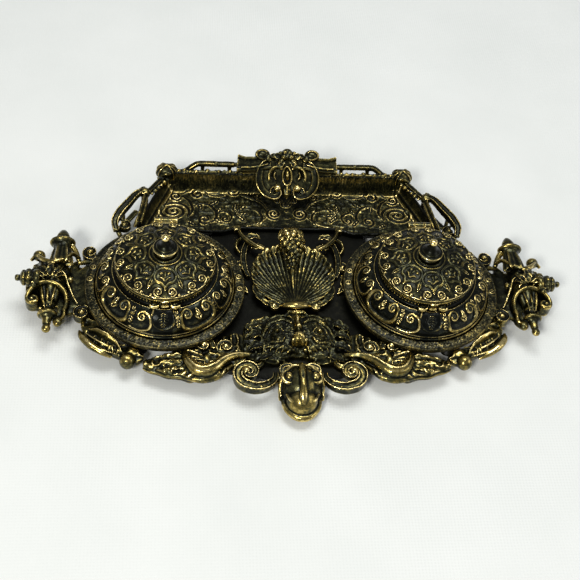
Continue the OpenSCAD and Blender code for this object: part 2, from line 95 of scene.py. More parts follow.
def smooth(points, step=0.5):
    """Smooth curve through a few points, evenly spaced."""
    p = np.asarray(points, float)
    p = np.vstack([2 * p[0] - p[1], p, 2 * p[-1] - p[-2]])
    out = []
    t = np.linspace(0, 1, 16, endpoint=False)[:, None]
    for a, b, c, d in zip(p[:-3], p[1:-2], p[2:-1], p[3:]):
        out.append(0.5 * (2 * b + (c - a) * t + (2 * a - 5 * b + 4 * c - d) * t**2
                          + (3 * b - a - 3 * c + d) * t**3))
    out.append(p[-2][None])
    return even(np.vstack(out), step)


def curl(path, radius, turns, hand, end=0.8, step=0.4):
    """Carries a plane path on into a spiral that winds in; hand 1 turns left, -1 right."""
    p, d = path[-1], unit(path[-1] - path[-2])
    n = hand * np.array([-d[1], d[0]])
    centre = p + n * radius
    start = math.atan2(-n[1], -n[0])
    t = np.linspace(0, 1, int(40 * turns) + 4)[1:]
    r = radius + (end - radius) * t**0.8
    a = start + hand * 2 * math.pi * turns * t
    spiral = centre + np.stack([r * np.cos(a), r * np.sin(a)], axis=1)
    return even(np.vstack([path, spiral]), step)


def mirrored(path):
    """The path mirrored across its local Y axis."""
    out = np.array(path, float)
    out[:, 0] *= -1
    return out


def rounded(corners, radius=0.5, step=None):
    """Profile through corners, each eased by a small round."""
    c = np.asarray(corners, float)
    out = [c[0]]
    for a, b, d in zip(c[:-2], c[1:-1], c[2:]):
        ra = min(radius, np.linalg.norm(b - a) * 0.45)
        rd = min(radius, np.linalg.norm(d - b) * 0.45)
        p, q = b + unit(a - b) * ra, b + unit(d - b) * rd
        for t in (0.0, 0.25, 0.5, 0.75, 1.0):
            out.append((1 - t) ** 2 * p + 2 * t * (1 - t) * b + t**2 * q)
    out.append(c[-1])
    out = np.array(out)
    if step is None:
        return out
    pieces = [out[:1]]
    for a, b in zip(out[:-1], out[1:]):
        n = max(int(np.linalg.norm(b - a) / step), 1)
        t = np.linspace(0, 1, n + 1)[1:, None]
        pieces.append(a + (b - a) * t)
    return np.vstack(pieces)


# ---------- noise ----------
def noise(p, scale, seed=0.0):
    """Smooth noise between -1 and 1 at points p, with cells of the given size."""
    q = np.asarray(p, float) / scale + seed * 17.31
    i = np.floor(q)
    f = q - i
    f = f * f * (3 - 2 * f)
    total = np.zeros(len(q))
    for dx in (0, 1):
        for dy in (0, 1):
            for dz in (0, 1):
                h = np.sin((i[:, 0] + dx) * 127.1 + (i[:, 1] + dy) * 311.7 + (i[:, 2] + dz)
                           * 74.7) * 43758.5453
                h = h - np.floor(h)
                w = (f[:, 0] if dx else 1 - f[:, 0]) * (f[:, 1] if dy else 1 - f[:, 1])
                total += h * w * (f[:, 2] if dz else 1 - f[:, 2])
    return total * 2 - 1


def plane_noise(x, y, scale, seed):
    return noise(np.column_stack([x, y, 0 * x]), scale, seed)


def veins(x, y, scale, seed, sharp):
    """Raised lines, 0 to 1, that wander over a plane like the veins of leafage."""
    return np.clip(1 - np.abs(plane_noise(x, y, scale, seed)) * sharp, 0, 1)


# ---------- relief on a plane ----------
class Relief:
    """Heights over the plane points X, Y, raised by ridges, beads and leaves."""

    def __init__(self, x, y):
        self.x, self.y = np.asarray(x, float), np.asarray(y, float)
        self.h = np.zeros_like(self.x)

    def near(self, path, pad):
        lo, hi = path.min(axis=0) - pad, path.max(axis=0) + pad
        return (self.x > lo[0]) & (self.x < hi[0]) & (self.y > lo[1]) & (self.y < hi[1])

    def ridge(self, path, w, h, form="round", ends=(1.0, 1.0)):
        """Ridge about w wide to each side and h high along a path, narrowed at its ends."""
        w = w * RIDGE_SPREAD
        path = even(path, max(0.3, w * 0.35))
        m = self.near(path, w)
        if not m.any():
            return self
        px, py = self.x[m], self.y[m]
        best = np.full(px.shape, 1e9)
        where = np.zeros(px.shape)
        last = len(path) - 1
        for k, (a, b) in enumerate(path):
            d = (px - a) ** 2 + (py - b) ** 2
            closer = d < best
            best[closer] = d[closer]
            where[closer] = k / last
        width = w * np.interp(where, [0, 0.3, 0.7, 1], [ends[0], 1, 1, ends[1]])
        q = np.sqrt(best) / width
        inside = q < 1
        q = np.clip(q, 0, 1)
        if form == "round":
            v = h * np.sqrt(1 - q**2)
        else:
            v = h * (1 - q**2) ** 2
        v = v * np.interp(where, [0, 0.2, 0.8, 1], [0.6 + 0.4 * ends[0], 1, 1, 0.6 + 0.4 * ends[1]])
        cur = self.h[m]
        cur[inside] = np.maximum(cur[inside], v[inside])
        self.h[m] = cur
        return self

    def bead(self, x, y, rx, ry, h, turn=0.0, form="round"):
        """Round or soft-edged boss, rx by ry wide and h high, turned by an angle."""
        c, s = math.cos(turn), math.sin(turn)
        u = ((self.x - x) * c + (self.y - y) * s) / rx
        v = (-(self.x - x) * s + (self.y - y) * c) / ry
        q = u**2 + v**2
        m = q < 1
        up = np.sqrt(1 - q[m]) if form == "round" else (1 - q[m]) ** 2
        self.h[m] = np.maximum(self.h[m], h * up)
        return self

    def leaf(self, root, tip, w, h, lobes=3):
        """Lobed leaf from root to tip with a sunk midrib and veins."""
        root, tip = np.asarray(root, float), np.asarray(tip, float)
        axis = tip - root
        length = np.linalg.norm(axis)
        axis = axis / length
        side = np.array([-axis[1], axis[0]])
        dx, dy = self.x - root[0], self.y - root[1]
        s = (dx * axis[0] + dy * axis[1]) / length
        u = dx * side[0] + dy * side[1]
        m = (s > 0) & (s < 1) & (np.abs(u) < w)
        s, u = s[m], u[m]
        saw = (s * lobes) % 1.0
        half = w * np.sin(math.pi * s**0.75) ** 0.8 * (0.68 + 0.32
                * np.sin(math.pi * np.clip(saw, 0, 1)) ** 0.7)
        half = np.maximum(half, 1e-3)
        q = np.abs(u) / half
        inside = q < 1
        vein = 0.16 * np.cos(2 * math.pi * (s * lobes * 2 - q * 0.9))
        v = h * (np.sqrt(np.clip(1 - q**2, 0, 1)) * (0.82 + vein) - 0.45 * np.exp(-((u / (0.12 * w)) ** 2)))
        cur = self.h[m]
        cur[inside] = np.maximum(cur[inside], v[inside])
        self.h[m] = cur
        return self


# ---------- meshes ----------
def grid_faces(rows, cols, wrap_cols=False):
    """Quads over a grid of points, closed across its columns on request."""
    r = np.arange(rows - 1)
    c = np.arange(cols if wrap_cols else cols - 1)
    r, c = np.meshgrid(r, c, indexing="ij")
    r2, c2 = r + 1, (c + 1) % cols
    quad = np.stack([r * cols + c, r * cols + c2, r2 * cols + c2, r2 * cols + c], axis=-1)
    return quad.reshape(-1, 4)


class Solid:
    """A bag of vertices (mm) and faces that can be joined, moved and mirrored."""

    def __init__(self, verts, quads, extra=()):
        self.v = np.asarray(verts, float).reshape(-1, 3)
        self.q = np.asarray(quads, int).reshape(-1, 4)
        self.extra = [list(f) for f in extra]

    def moved(self, dx=0.0, dy=0.0, dz=0.0):
        return Solid(self.v + [dx, dy, dz], self.q, self.extra)

    def scaled(self, sx, sy, sz):
        flip = sx * sy * sz < 0
        q = self.q[:, ::-1] if flip else self.q
        extra = [f[::-1] for f in self.extra] if flip else self.extra
        return Solid(self.v * [sx, sy, sz], q, extra)

    def turned(self, axis, degrees):
        a = math.radians(degrees)
        c, s = math.cos(a), math.sin(a)
        m = {"x": [[1, 0, 0], [0, c, -s], [0, s, c]], "y": [[c, 0, s], [0, 1, 0], [-s, 0, c]],
             "z": [[c, -s, 0], [s, c, 0], [0, 0, 1]]}[axis]
        return Solid(self.v @ np.array(m).T, self.q, self.extra)


def joined(parts):
    """One bag of faces from several."""
    v, q, extra, base = [], [], [], 0
    for p in parts:
        v.append(p.v)
        q.append(p.q + base)
        extra += [[k + base for k in f] for f in p.extra]
        base += len(p.v)
    return Solid(np.vstack(v), np.vstack(q), extra)


def lathe(profile, around=96, relief=None):
    """Turns an (r, z) profile round Z. relief(theta, k, r, z) lifts points along the profile's normal."""
    prof = np.asarray(profile, float)
    n = len(prof)
    tang = np.gradient(prof, axis=0)
    tang /= np.maximum(np.linalg.norm(tang, axis=1, keepdims=True), 1e-9)
    norm = np.stack([tang[:, 1], -tang[:, 0]], axis=1)
    th = np.arange(around) * 2 * math.pi / around
    r = np.repeat(prof[:, 0][:, None], around, axis=1)
    z = np.repeat(prof[:, 1][:, None], around, axis=1)
    t = np.repeat(th[None], n, axis=0)
    if relief is not None:
        k = np.repeat(np.arange(n)[:, None], around, axis=1)
        lift = relief(t, k, r, z)
        keep = (r > 1e-6).astype(float)
        r = r + norm[:, 0][:, None] * lift * keep
        z = z + norm[:, 1][:, None] * lift
    v = np.stack([r * np.cos(t), r * np.sin(t), z], axis=-1).reshape(-1, 3)
    q = grid_faces(n, around, wrap_cols=True)
    return weld_poles(Solid(v, q), n, around, prof)


def weld_poles(s, n, around, prof):
    """Replaces the collapsed rings of a lathe with single points."""
    v, q = s.v, s.q
    faces = []
    keep = np.arange(len(v))
    first, last = prof[0, 0] < 1e-6, prof[-1, 0] < 1e-6
    if first:
        keep[:around] = 0
    if last:
        keep[(n - 1) * around:] = (n - 1) * around
    q = keep[q]
    top, mid, bottom = q[:around], q[around:-around], q[-around:]
    for block in (top, bottom):
        for f in block.tolist():
            g = []
            for k in f:
                if k not in g:
                    g.append(k)
            faces.append(g)
    used = np.unique(np.concatenate([mid.ravel(), np.concatenate([np.array(f) for f in faces])]))
    index = np.full(len(v), -1)
    index[used] = np.arange(len(used))
    return Solid(v[used], index[mid], [[int(index[k]) for k in f] for f in faces])


def section_round(n=14):
    a = np.arange(n) * 2 * math.pi / n
    return np.stack([np.cos(a), np.sin(a)], axis=1)


def section_strap(rim=0.22, dip=0.35):
    """Scroll strap: flat foot, steep sides, two raised rims and a hollow between them."""
    pts = [(-1, -1), (-1, 0.75), (-0.95, 0.96), (-1 + rim, 1.0), (-1 + rim * 1.7, 1 - dip * 0.8),
           (-0.3, 1 - dip), (0, 1 - dip * 0.9), (0.3, 1 - dip), (1 - rim * 1.7, 1 - dip * 0.8),
           (1 - rim, 1.0), (0.95, 0.96), (1, 0.75), (1, -1), (0.4, -1), (-0.4, -1)]
    return np.array(pts)[::-1]


def section_lip():
    """Strap with one bright raised rim along its outer edge."""
    pts = [(-1, -1), (-1, 0.6), (-0.96, 0.86), (-0.8, 1.0), (-0.6, 0.94), (-0.44, 0.6), (-0.2, 0.4),
           (0.3, 0.36), (0.8, 0.3), (1, 0.1), (1, -1), (0.4, -1), (-0.4, -1)]
    return np.array(pts)[::-1]


def section_ridge():
    """Leaf-like bar with a crest along its middle."""
    pts = [(-1, -0.9), (-1, 0.0), (-0.72, 0.45), (-0.35, 0.6), (-0.12, 0.95), (0, 1.0), (0.12, 0.95),
           (0.35, 0.6), (0.72, 0.45), (1, 0.0), (1, -0.9), (0.4, -1), (-0.4, -1)]
    return np.array(pts)[::-1]


def rounded_box():
    pts = [(1, -0.6), (1, 0.6), (0.86, 0.92), (0.6, 1), (-0.6, 1), (-0.86, 0.92), (-1, 0.6), (-1, -0.6),
           (-0.86, -0.92), (-0.6, -1), (0.6, -1), (0.86, -0.92)]
    return np.array(pts)


def section_cup():
    pts = [(-1.0, 0.3), (-0.84, 0.62), (-0.6, 0.42), (-0.3, -0.1), (0.1, -0.25), (0.45, 0.1), (0.68, 0.75),
           (0.92, 1.0), (1.14, 0.72), (1.12, 0.1), (0.75, -0.7), (0.0, -1.0), (-0.7, -0.75), (-1.08, -0.15)]
    return np.array(pts)[::-1]


RIDGE, STRAP, BOX = section_ridge(), section_strap(), rounded_box()


def sweep(path, width, height, section=None, up=(0, 0, 1)):
    """Sweeps a section along a 3D path; width and height are half sizes, one number or key values."""
    path = np.asarray(path, float)
    section = section_round() if section is None else section
    n, m = len(path), len(section)
    t = np.linspace(0, 1, n)

    def spread(v):
        v = np.atleast_1d(np.asarray(v, float))
        return np.interp(t, np.linspace(0, 1, len(v)), v)

    w, h = spread(width), spread(height)
    tang = np.gradient(path, axis=0)
    tang /= np.maximum(np.linalg.norm(tang, axis=1, keepdims=True), 1e-9)
    up = np.asarray(up, float)
    side = np.zeros((n, 3))
    prev = np.cross(tang[0], up)
    if np.linalg.norm(prev) < 1e-3:
        prev = np.cross(tang[0], up + [0.3, 0.2, 0.1])
    for k in range(n):
        s = np.cross(tang[k], up)
        if np.linalg.norm(s) < 0.15:
            s = prev - tang[k] * np.dot(prev, tang[k])
        s = unit(s)
        if np.dot(s, prev) < 0:
            s = -s
        side[k] = s
        prev = s
    over = np.cross(side, tang)
    v = (path[:, None] + side[:, None] * (section[None, :, 0, None] * w[:, None, None])
         + over[:, None] * (section[None, :, 1, None] * h[:, None, None]))
    q = grid_faces(n, m, wrap_cols=True)[:, ::-1]
    caps = [list(range(m)), [(n - 1) * m + k for k in range(m)][::-1]]
    return Solid(v.reshape(-1, 3), q, caps)


def lift(path2, z):
    """A plane path raised to height z, one number or key values."""
    path2 = np.asarray(path2, float)
    z = np.atleast_1d(np.asarray(z, float))
    t = np.linspace(0, 1, len(path2))
    return np.column_stack([path2, np.interp(t, np.linspace(0, 1, len(z)), z)])


def ball(x, y, z, rx, ry=None, rz=None, n=24):
    """Turned ball or egg."""
    ry = rx if ry is None else ry
    rz = rx if rz is None else rz
    a = np.linspace(-math.pi / 2, math.pi / 2, n // 2 + 1)
    s = lathe(np.stack([np.cos(a).clip(0), np.sin(a)], axis=1), n)
    return s.scaled(rx, ry, rz).moved(x, y, z)


def strand(points, *size, **more):
    """Sweep along a smooth curve through the points."""
    return sweep(smooth(points), *size, **more)


def leaf3d(path, half, cup, lobes, thick, depth=0.5):
    """Free-standing acanthus leaf along a 3D path: lobed edge, sunk midrib, raised veins."""
    path = smooth(path)
    n = len(path)
    s = np.linspace(0, 1, n)[:, None]
    u = np.linspace(-1, 1, 25)[None]
    half = np.interp(s[:, 0], np.linspace(0, 1, len(half)), half)[:, None]
    saw = (s * lobes) % 1.0
    edge = 1 - depth * (1 - np.sin(math.pi * saw) ** 0.8) * np.ones_like(u)
    tang = np.gradient(path, axis=0)
    tang /= np.maximum(np.linalg.norm(tang, axis=1, keepdims=True), 1e-9)
    side = np.cross(tang, [0.0, 0.0, 1.0])
    side /= np.maximum(np.linalg.norm(side, axis=1, keepdims=True), 1e-9)
    over = np.cross(side, tang)
    across = half * u * edge
    back = np.abs(u) * half * 0.45
    rise = cup * half * (u**2) - 0.5 * np.exp(-((u / 0.14) ** 2)) + 0.25 * np.cos(
        2 * math.pi * (s * lobes + np.abs(u) * 0.8)) * (np.abs(u) > 0.12) * half * 0.25
    top = path[:, None] + side[:, None] * across[..., None] + over[:, None] * rise[..., None] \
        - tang[:, None] * back[..., None] * 0.6
    t = thick * (0.35 + 0.65 * (1 - np.abs(u) ** 2)) * np.ones_like(s)
    low = top - over[:, None] * t[..., None]
    v = np.concatenate([top, low[:, ::-1]], axis=1)
    m = v.shape[1]
    q = grid_faces(n, m, wrap_cols=True)
    caps = [list(range(m))[::-1], [(n - 1) * m + k for k in range(m)]]
    return Solid(v.reshape(-1, 3), q, caps)


def mesh_arrays(mesh):
    """Points, normals and edges of a mesh."""
    n = len(mesh.vertices)
    co = np.empty(n * 3, np.float32)
    mesh.vertices.foreach_get("co", co)
    nor = np.empty(n * 3, np.float32)
    mesh.vertices.foreach_get("normal", nor)
    ed = np.empty(len(mesh.edges) * 2, np.int32)
    mesh.edges.foreach_get("vertices", ed)
    return co.reshape(-1, 3).astype(float), nor.reshape(-1, 3).astype(float), ed.reshape(-1, 2)


def relax(co, ed, rounds, keep=0.5):
    """Averages each point with its neighbours."""
    n = len(co)
    a, b = ed[:, 0], ed[:, 1]
    deg = np.bincount(a, minlength=n) + np.bincount(b, minlength=n)
    deg = np.maximum(deg, 1)[:, None]
    p = co.copy()
    for _ in range(rounds):
        acc = np.stack([np.bincount(a, weights=p[b, k], minlength=n)
                        + np.bincount(b, weights=p[a, k], minlength=n) for k in range(3)], axis=1)
        p = p * keep + (1 - keep) * acc / deg
    return p


def to_mesh(name, solid):
    """Blender mesh, in metres, of a solid in millimetres."""
    mesh = bpy.data.meshes.new(name)
    faces = solid.q.tolist() + solid.extra
    mesh.from_pydata((solid.v * MM).tolist(), [], faces)
    mesh.validate(verbose=False)
    mesh.update()
    return mesh


def place(name, shape, body, nodes, mat, wear, extra=None):
    """Makes the object from a solid or a mesh, writes its map of rubbed brass and painted light and shade,
    and ties it to the CAD frame.

    The map's settings are (bias, gain, share of sharp edges, extra for raised faces that look up, which is
    rubbed brass and partly painted light from above); extra(x, y, z) adds more, painted light and shade among
    it.
    """
    mesh = to_mesh(name, shape) if isinstance(shape, Solid) else shape
    co, nor, ed = mesh_arrays(mesh)
    co /= MM
    bias, gain, fine, top = (*wear, 0.0)[:4]
    near = np.einsum("ij,ij->i", co - relax(co, ed, NEAR_ROUNDS), nor)
    far = np.einsum("ij,ij->i", co - relax(co, ed, FAR_ROUNDS), nor)
    value = bias + gain * (fine * near / NEAR_RISE + (1 - fine) * far / FAR_RISE)
    # raised faces that look up are made lighter: rubbed brass, partly painted light from above
    if top:
        low, high = np.percentile(co[:, 2], (LOW_SHARE, HIGH_SHARE))
        value = value + top * np.clip(nor[:, 2], 0, 1) ** 2 * np.clip((co[:, 2] - low) / (high - low), 0, 1)
    if extra is not None:
        value = value + extra(co[:, 0], co[:, 1], co[:, 2])
    att = mesh.attributes.new("wear", "FLOAT", "POINT")
    att.data.foreach_set("value", np.clip(value, *WEAR_AND_LIGHT_RANGE).astype(np.float32))
    mesh.polygons.foreach_set("use_smooth", np.ones(len(mesh.polygons), bool))
    mesh.update()
    obj = bpy.data.objects.new(name, mesh)
    bpy.context.scene.collection.objects.link(obj)
    mesh.materials.append(mat)
    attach(obj, body)
    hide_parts(*nodes)


def cast(name, parts, slot, voxel, wear, seed, ease=2, rough=0.06, clip=None, extra=None):
    """Fuses overlapping parts into one casting by voxel remesh, then softens and roughens it."""
    mesh = to_mesh(name + "_raw", joined(parts))
    raw = bpy.data.objects.new(name + "_raw", mesh)
    bpy.context.scene.collection.objects.link(raw)
    mod = raw.modifiers.new("fuse", "REMESH")
    mod.mode = "VOXEL"
    mod.voxel_size = voxel * MM
    mod.use_smooth_shade = True
    dg = bpy.context.evaluated_depsgraph_get()
    out = bpy.data.meshes.new_from_object(raw.evaluated_get(dg))
    bpy.data.objects.remove(raw)
    bpy.data.meshes.remove(mesh)
    out.name = name
    co, nor, ed = mesh_arrays(out)
    co = relax(co / MM, ed, ease, 0.45)
    co += nor * (rough * noise(co, 1.7, seed) + rough * 1.3 * noise(co, 5.0, seed + 3))[:, None]
    if clip is not None:
        co = np.clip(co, clip[0], clip[1])
    out.vertices.foreach_set("co", (co * MM).astype(np.float32).ravel())
    out.update()
    place(name, out, STAND, [name], RUBBED, wear, extra)


# ---------- camera, floor and light ----------
AIM = Vector((-0.0003, 0.004, 0.0))
AZIMUTH, ELEVATION, ROLL, DISTANCE = -10.32, 50.0, 8.63, 0.690
LENS = 66.7


def add_camera():
    """Camera at the photograph's angle, turned about its own axis by ROLL."""
    a, e = math.radians(AZIMUTH), math.radians(ELEVATION)
    back = Vector((math.sin(a) * math.cos(e), -math.cos(a) * math.cos(e), math.sin(e)))
    cam = bpy.data.objects.new("camera", bpy.data.cameras.new("camera"))
    cam.data.lens = LENS
    cam.data.sensor_width = 36.0
    cam.data.clip_start = 0.02
    cam.location = AIM + back * DISTANCE
    cam.rotation_mode = "QUATERNION"
    look = (-back).to_track_quat("-Z", "Y")
    tilt = look.to_matrix().to_4x4()
    roll = math.radians(ROLL)
    right, up = tilt.col[0].xyz.copy(), tilt.col[1].xyz.copy()
    tilt.col[0].xyz = right * math.cos(roll) + up * math.sin(roll)
    tilt.col[1].xyz = up * math.cos(roll) - right * math.sin(roll)
    cam.rotation_quaternion = tilt.to_quaternion()
    bpy.context.scene.collection.objects.link(cam)
    bpy.context.scene.camera = cam


def add_area(name, at, aim, size, power, colour):
    """Rectangular soft light."""
    light = bpy.data.lights.new(name, "AREA")
    light.shape = "RECTANGLE"
    light.size, light.size_y = size
    light.energy = power
    light.color = colour
    obj = bpy.data.objects.new(name, light)
    obj.location = at
    obj.rotation_mode = "QUATERNION"
    obj.rotation_quaternion = (Vector(aim) - Vector(at)).to_track_quat("-Z", "Y")
    bpy.context.scene.collection.objects.link(obj)


def node(tree, kind, **sockets):
    """New node with values set on its sockets; an underscore stands for a space."""
    n = tree.nodes.new(kind)
    for key, value in sockets.items():
        n.inputs[key.replace("_", " ")].default_value = value
    return n


def ramp(tree, stops, source):
    """Colour ramp driven by a socket; returns its colour."""
    n = tree.nodes.new("ShaderNodeValToRGB")
    el = n.color_ramp.elements
    while len(el) < len(stops):
        el.new(0.5)
    for e, (pos, col) in zip(el, stops):
        e.position = pos
        e.color = (*col, 1) if len(col) == 3 else col
    tree.links.new(source, n.inputs["Fac"])
    return n.outputs["Color"]


def math_node(tree, op, a, b=None, clamp=False):
    """One arithmetic node on sockets or plain numbers."""
    n = tree.nodes.new("ShaderNodeMath")
    n.operation = op
    n.use_clamp = clamp
    for k, v in enumerate((a, b)):
        if v is None:
            continue
        if isinstance(v, (int, float)):
            n.inputs[k].default_value = v
        else:
            tree.links.new(v, n.inputs[k])
    return n.outputs[0]


def surface(mat, **sockets):
    """Clears the material and gives it one Principled shader and object coordinates."""
    mat.use_nodes = True
    tree = mat.node_tree
    tree.nodes.clear()
    out = node(tree, "ShaderNodeOutputMaterial")
    bsdf = node(tree, "ShaderNodeBsdfPrincipled", **sockets)
    tree.links.new(bsdf.outputs[0], out.inputs["Surface"])
    return tree, tree.links, bsdf, node(tree, "ShaderNodeTexCoord").outputs["Object"]


def bronze(name, dark=(0.009, 0.010, 0.004), mid=(0.080, 0.076, 0.030), warm=(0.35, 0.258, 0.064),
           bright=(0.88, 0.70, 0.29), cut=0.45, soft=1.0, mottle=0.75, grain=0.5, bump=0.7,
           shine=(0.40, 0.16), steel=0.9, rubbed=True):
    """Dark lacquered bronze that shows rubbed brass where its map is high; the map also carries painted light
    and shade.
    """
    mat = bpy.data.materials.new(name)
    tree, links, bsdf, coord = surface(mat, Coat_Weight=0.15, Coat_Roughness=0.22)

    def tex(scale, detail=3.0, rough=0.6):
        n = node(tree, "ShaderNodeTexNoise", Scale=scale, Detail=detail, Roughness=rough)
        links.new(coord, n.inputs["Vector"])
        return n.outputs["Fac"]

    def swing(source, gain):
        return math_node(tree, "MULTIPLY", math_node(tree, "SUBTRACT", source, 0.5), gain)

    # cloudy patches, blotches and flecks; the scales are cells per metre
    broad, blot, speck = tex(55), tex(260, 4), tex(1100, 2)
    if rubbed:
        att = node(tree, "ShaderNodeAttribute")
        att.attribute_name = "wear"
        wear = att.outputs["Fac"]
    else:
        geo = node(tree, "ShaderNodeNewGeometry").outputs["Pointiness"]
        wear = swing(geo, 6.0)
    jitter, drift, fleck = swing(blot, mottle * 2.4), swing(broad, mottle * 2.0), swing(speck, grain * 2.0)
    total = math_node(tree, "ADD", math_node(tree, "ADD", wear, jitter), math_node(tree, "ADD", drift, fleck))
    amount = math_node(tree, "DIVIDE", math_node(tree, "SUBTRACT", total, cut - soft), 2 * soft, clamp=True)
    colour = ramp(tree, [(0.0, tuple(0.45 * c for c in dark)), (0.26, dark), (0.5, mid), (0.74, warm),
                         (0.97, bright), (1.0, tuple(min(1.0, 1.1 * c) for c in bright))], amount)
    links.new(colour, bsdf.inputs["Base Color"])
    metal = node(tree, "ShaderNodeMapRange", To_Min=steel, To_Max=1.0)
    links.new(amount, metal.inputs["Value"])
    links.new(metal.outputs[0], bsdf.inputs["Metallic"])
    gloss = node(tree, "ShaderNodeMapRange", To_Min=shine[0], To_Max=shine[1])
    mixed = math_node(tree, "ADD", amount, swing(blot, 0.5))
    links.new(mixed, gloss.inputs["Value"])
    links.new(gloss.outputs[0], bsdf.inputs["Roughness"])
    b = node(tree, "ShaderNodeBump", Strength=bump, Distance=0.0002)
    height = math_node(tree, "ADD", math_node(tree, "MULTIPLY", blot, 0.6),
                       math_node(tree, "MULTIPLY", speck, 0.4))
    links.new(height, b.inputs["Height"])
    links.new(b.outputs[0], bsdf.inputs["Normal"])
    return mat


def glass():
    """Faintly green glass of the ink pots."""
    mat = bpy.data.materials.new("pot_glass")
    tree, links, bsdf, coord = surface(mat, Transmission_Weight=0.9, IOR=1.5, Roughness=0.06)
    n = node(tree, "ShaderNodeTexNoise", Scale=120)
    links.new(coord, n.inputs["Vector"])
    links.new(ramp(tree, [(0.3, (0.62, 0.74, 0.68)), (0.7, (0.80, 0.88, 0.84))], n.outputs["Fac"]),
              bsdf.inputs["Base Color"])
    return mat


def floor_cloth():
    """Pale matt backdrop cloth with a faint weave."""
    mat = bpy.data.materials.new("floor")
    tree, links, bsdf, coord = surface(mat, Roughness=0.9, Specular_IOR_Level=0.1)
    n = node(tree, "ShaderNodeTexNoise", Scale=14, Detail=4)
    links.new(coord, n.inputs["Vector"])
    links.new(ramp(tree, [(0.25, (0.80, 0.815, 0.78)), (0.75, (0.86, 0.87, 0.835))], n.outputs["Fac"]),
              bsdf.inputs["Base Color"])
    wx, wy = (node(tree, "ShaderNodeTexWave", Scale=170, Distortion=1.2) for _ in range(2))
    wx.bands_direction, wy.bands_direction = "X", "Y"
    for w in (wx, wy):
        links.new(coord, w.inputs["Vector"])
    b = node(tree, "ShaderNodeBump", Strength=0.12, Distance=0.0004)
    links.new(math_node(tree, "ADD", wx.outputs["Fac"], wy.outputs["Fac"]), b.inputs["Height"])
    links.new(b.outputs[0], bsdf.inputs["Normal"])
    return mat


def add_studio():
    """Pale floor, even sky and three soft lights."""
    mesh = bpy.data.meshes.new("floor")
    size = 3.0
    mesh.from_pydata([(-size, -size, 0), (size, -size, 0), (size, size, 0), (-size, size, 0)], [],
                     [(0, 1, 2, 3)])
    floor = bpy.data.objects.new("floor", mesh)
    mesh.materials.append(floor_cloth())
    bpy.context.scene.collection.objects.link(floor)
    world = bpy.data.worlds.new("studio")
    bpy.context.scene.world = world
    world.use_nodes = True
    back = world.node_tree.nodes["Background"]
    back.inputs["Color"].default_value = (0.93, 0.96, 1.0, 1)
    back.inputs["Strength"].default_value = 0.25
    add_area("key", (-0.50, -0.90, 0.95), (0, 0, 0), size=(0.26, 0.26), power=10.0, colour=(1.0, 0.99, 0.96))
    add_area("top", (0.10, 0.30, 1.25), (0, 0, 0), size=(0.8, 0.5), power=8.2, colour=(0.97, 0.99, 1.0))
    add_area("side", (0.95, -0.25, 0.60), (0, 0, 0.01), size=(0.5, 0.6), power=1.6, colour=(1, 1, 1))
    bpy.context.scene.view_settings.view_transform = "Standard"


add_camera()
add_studio()

PATINA = bronze("lid_patina", cut=0.34)
BLUE = bronze("cover_patina", dark=(0.008, 0.011, 0.007), mid=(0.070, 0.068, 0.034), cut=0.52,
              shine=(0.36, 0.2))
GRAINY = bronze("pan_patina", mid=(0.085, 0.074, 0.034), cut=0.48, grain=0.75, bump=0.9, shine=(0.5, 0.28))
RUBBED = bronze("rubbed_brass", cut=0.36)
GILT = bronze("bright_brass", cut=0.0, mottle=0.6, shine=(0.35, 0.16))
TRAY = bronze("tray_patina", cut=0.44, mottle=0.7, grain=0.8, bump=0.8, shine=(0.45, 0.25))
# nearly black: painted shade, so the base frame seen through the pierced work reads as the deep shadow under
# the stand; CAD nodes left showing take it too
BLACK_SHADE_PATINA = bronze("black_shade_patina", dark=(0.004, 0.004, 0.002), mid=(0.009, 0.009, 0.006),
               warm=(0.03, 0.026, 0.012), rubbed=False, cut=0.9, shine=(0.6, 0.4))
SCREW = bronze("screw_metal", dark=(0.16, 0.15, 0.11), mid=(0.28, 0.26, 0.19), warm=(0.4, 0.36, 0.24),
               rubbed=False)
GLASS = glass()


# ---------- wells ----------
PETALS = 8
SCROLL_ARC = 0.66           # mm of cover for one degree, at its scrolls


def petal_outline():
    """Cusped outline of one lid petal, pointing out along +Y."""
    right = [(0, 11.6), (3.2, 12.2), (5.2, 14.0), (6.2, 16.6), (5.9, 18.9), (4.3, 20.4), (2.3, 21.1),
             (0, 23.6)]
    path = smooth(right, 0.3)
    return np.vstack([path[:-1], mirrored(path)[::-1]])


def rim_volute():
    """One volute of the lid's border, to the right of a petal's axis."""
    t = np.linspace(0, 1, 70)
    r = 2.95 + (0.8 - 2.95) * t**0.9
    a = math.radians(100) - 2 * math.pi * 1.45 * t
    return np.column_stack([3.95 + r * np.cos(a), 26.2 + 0.92 * r * np.sin(a)])


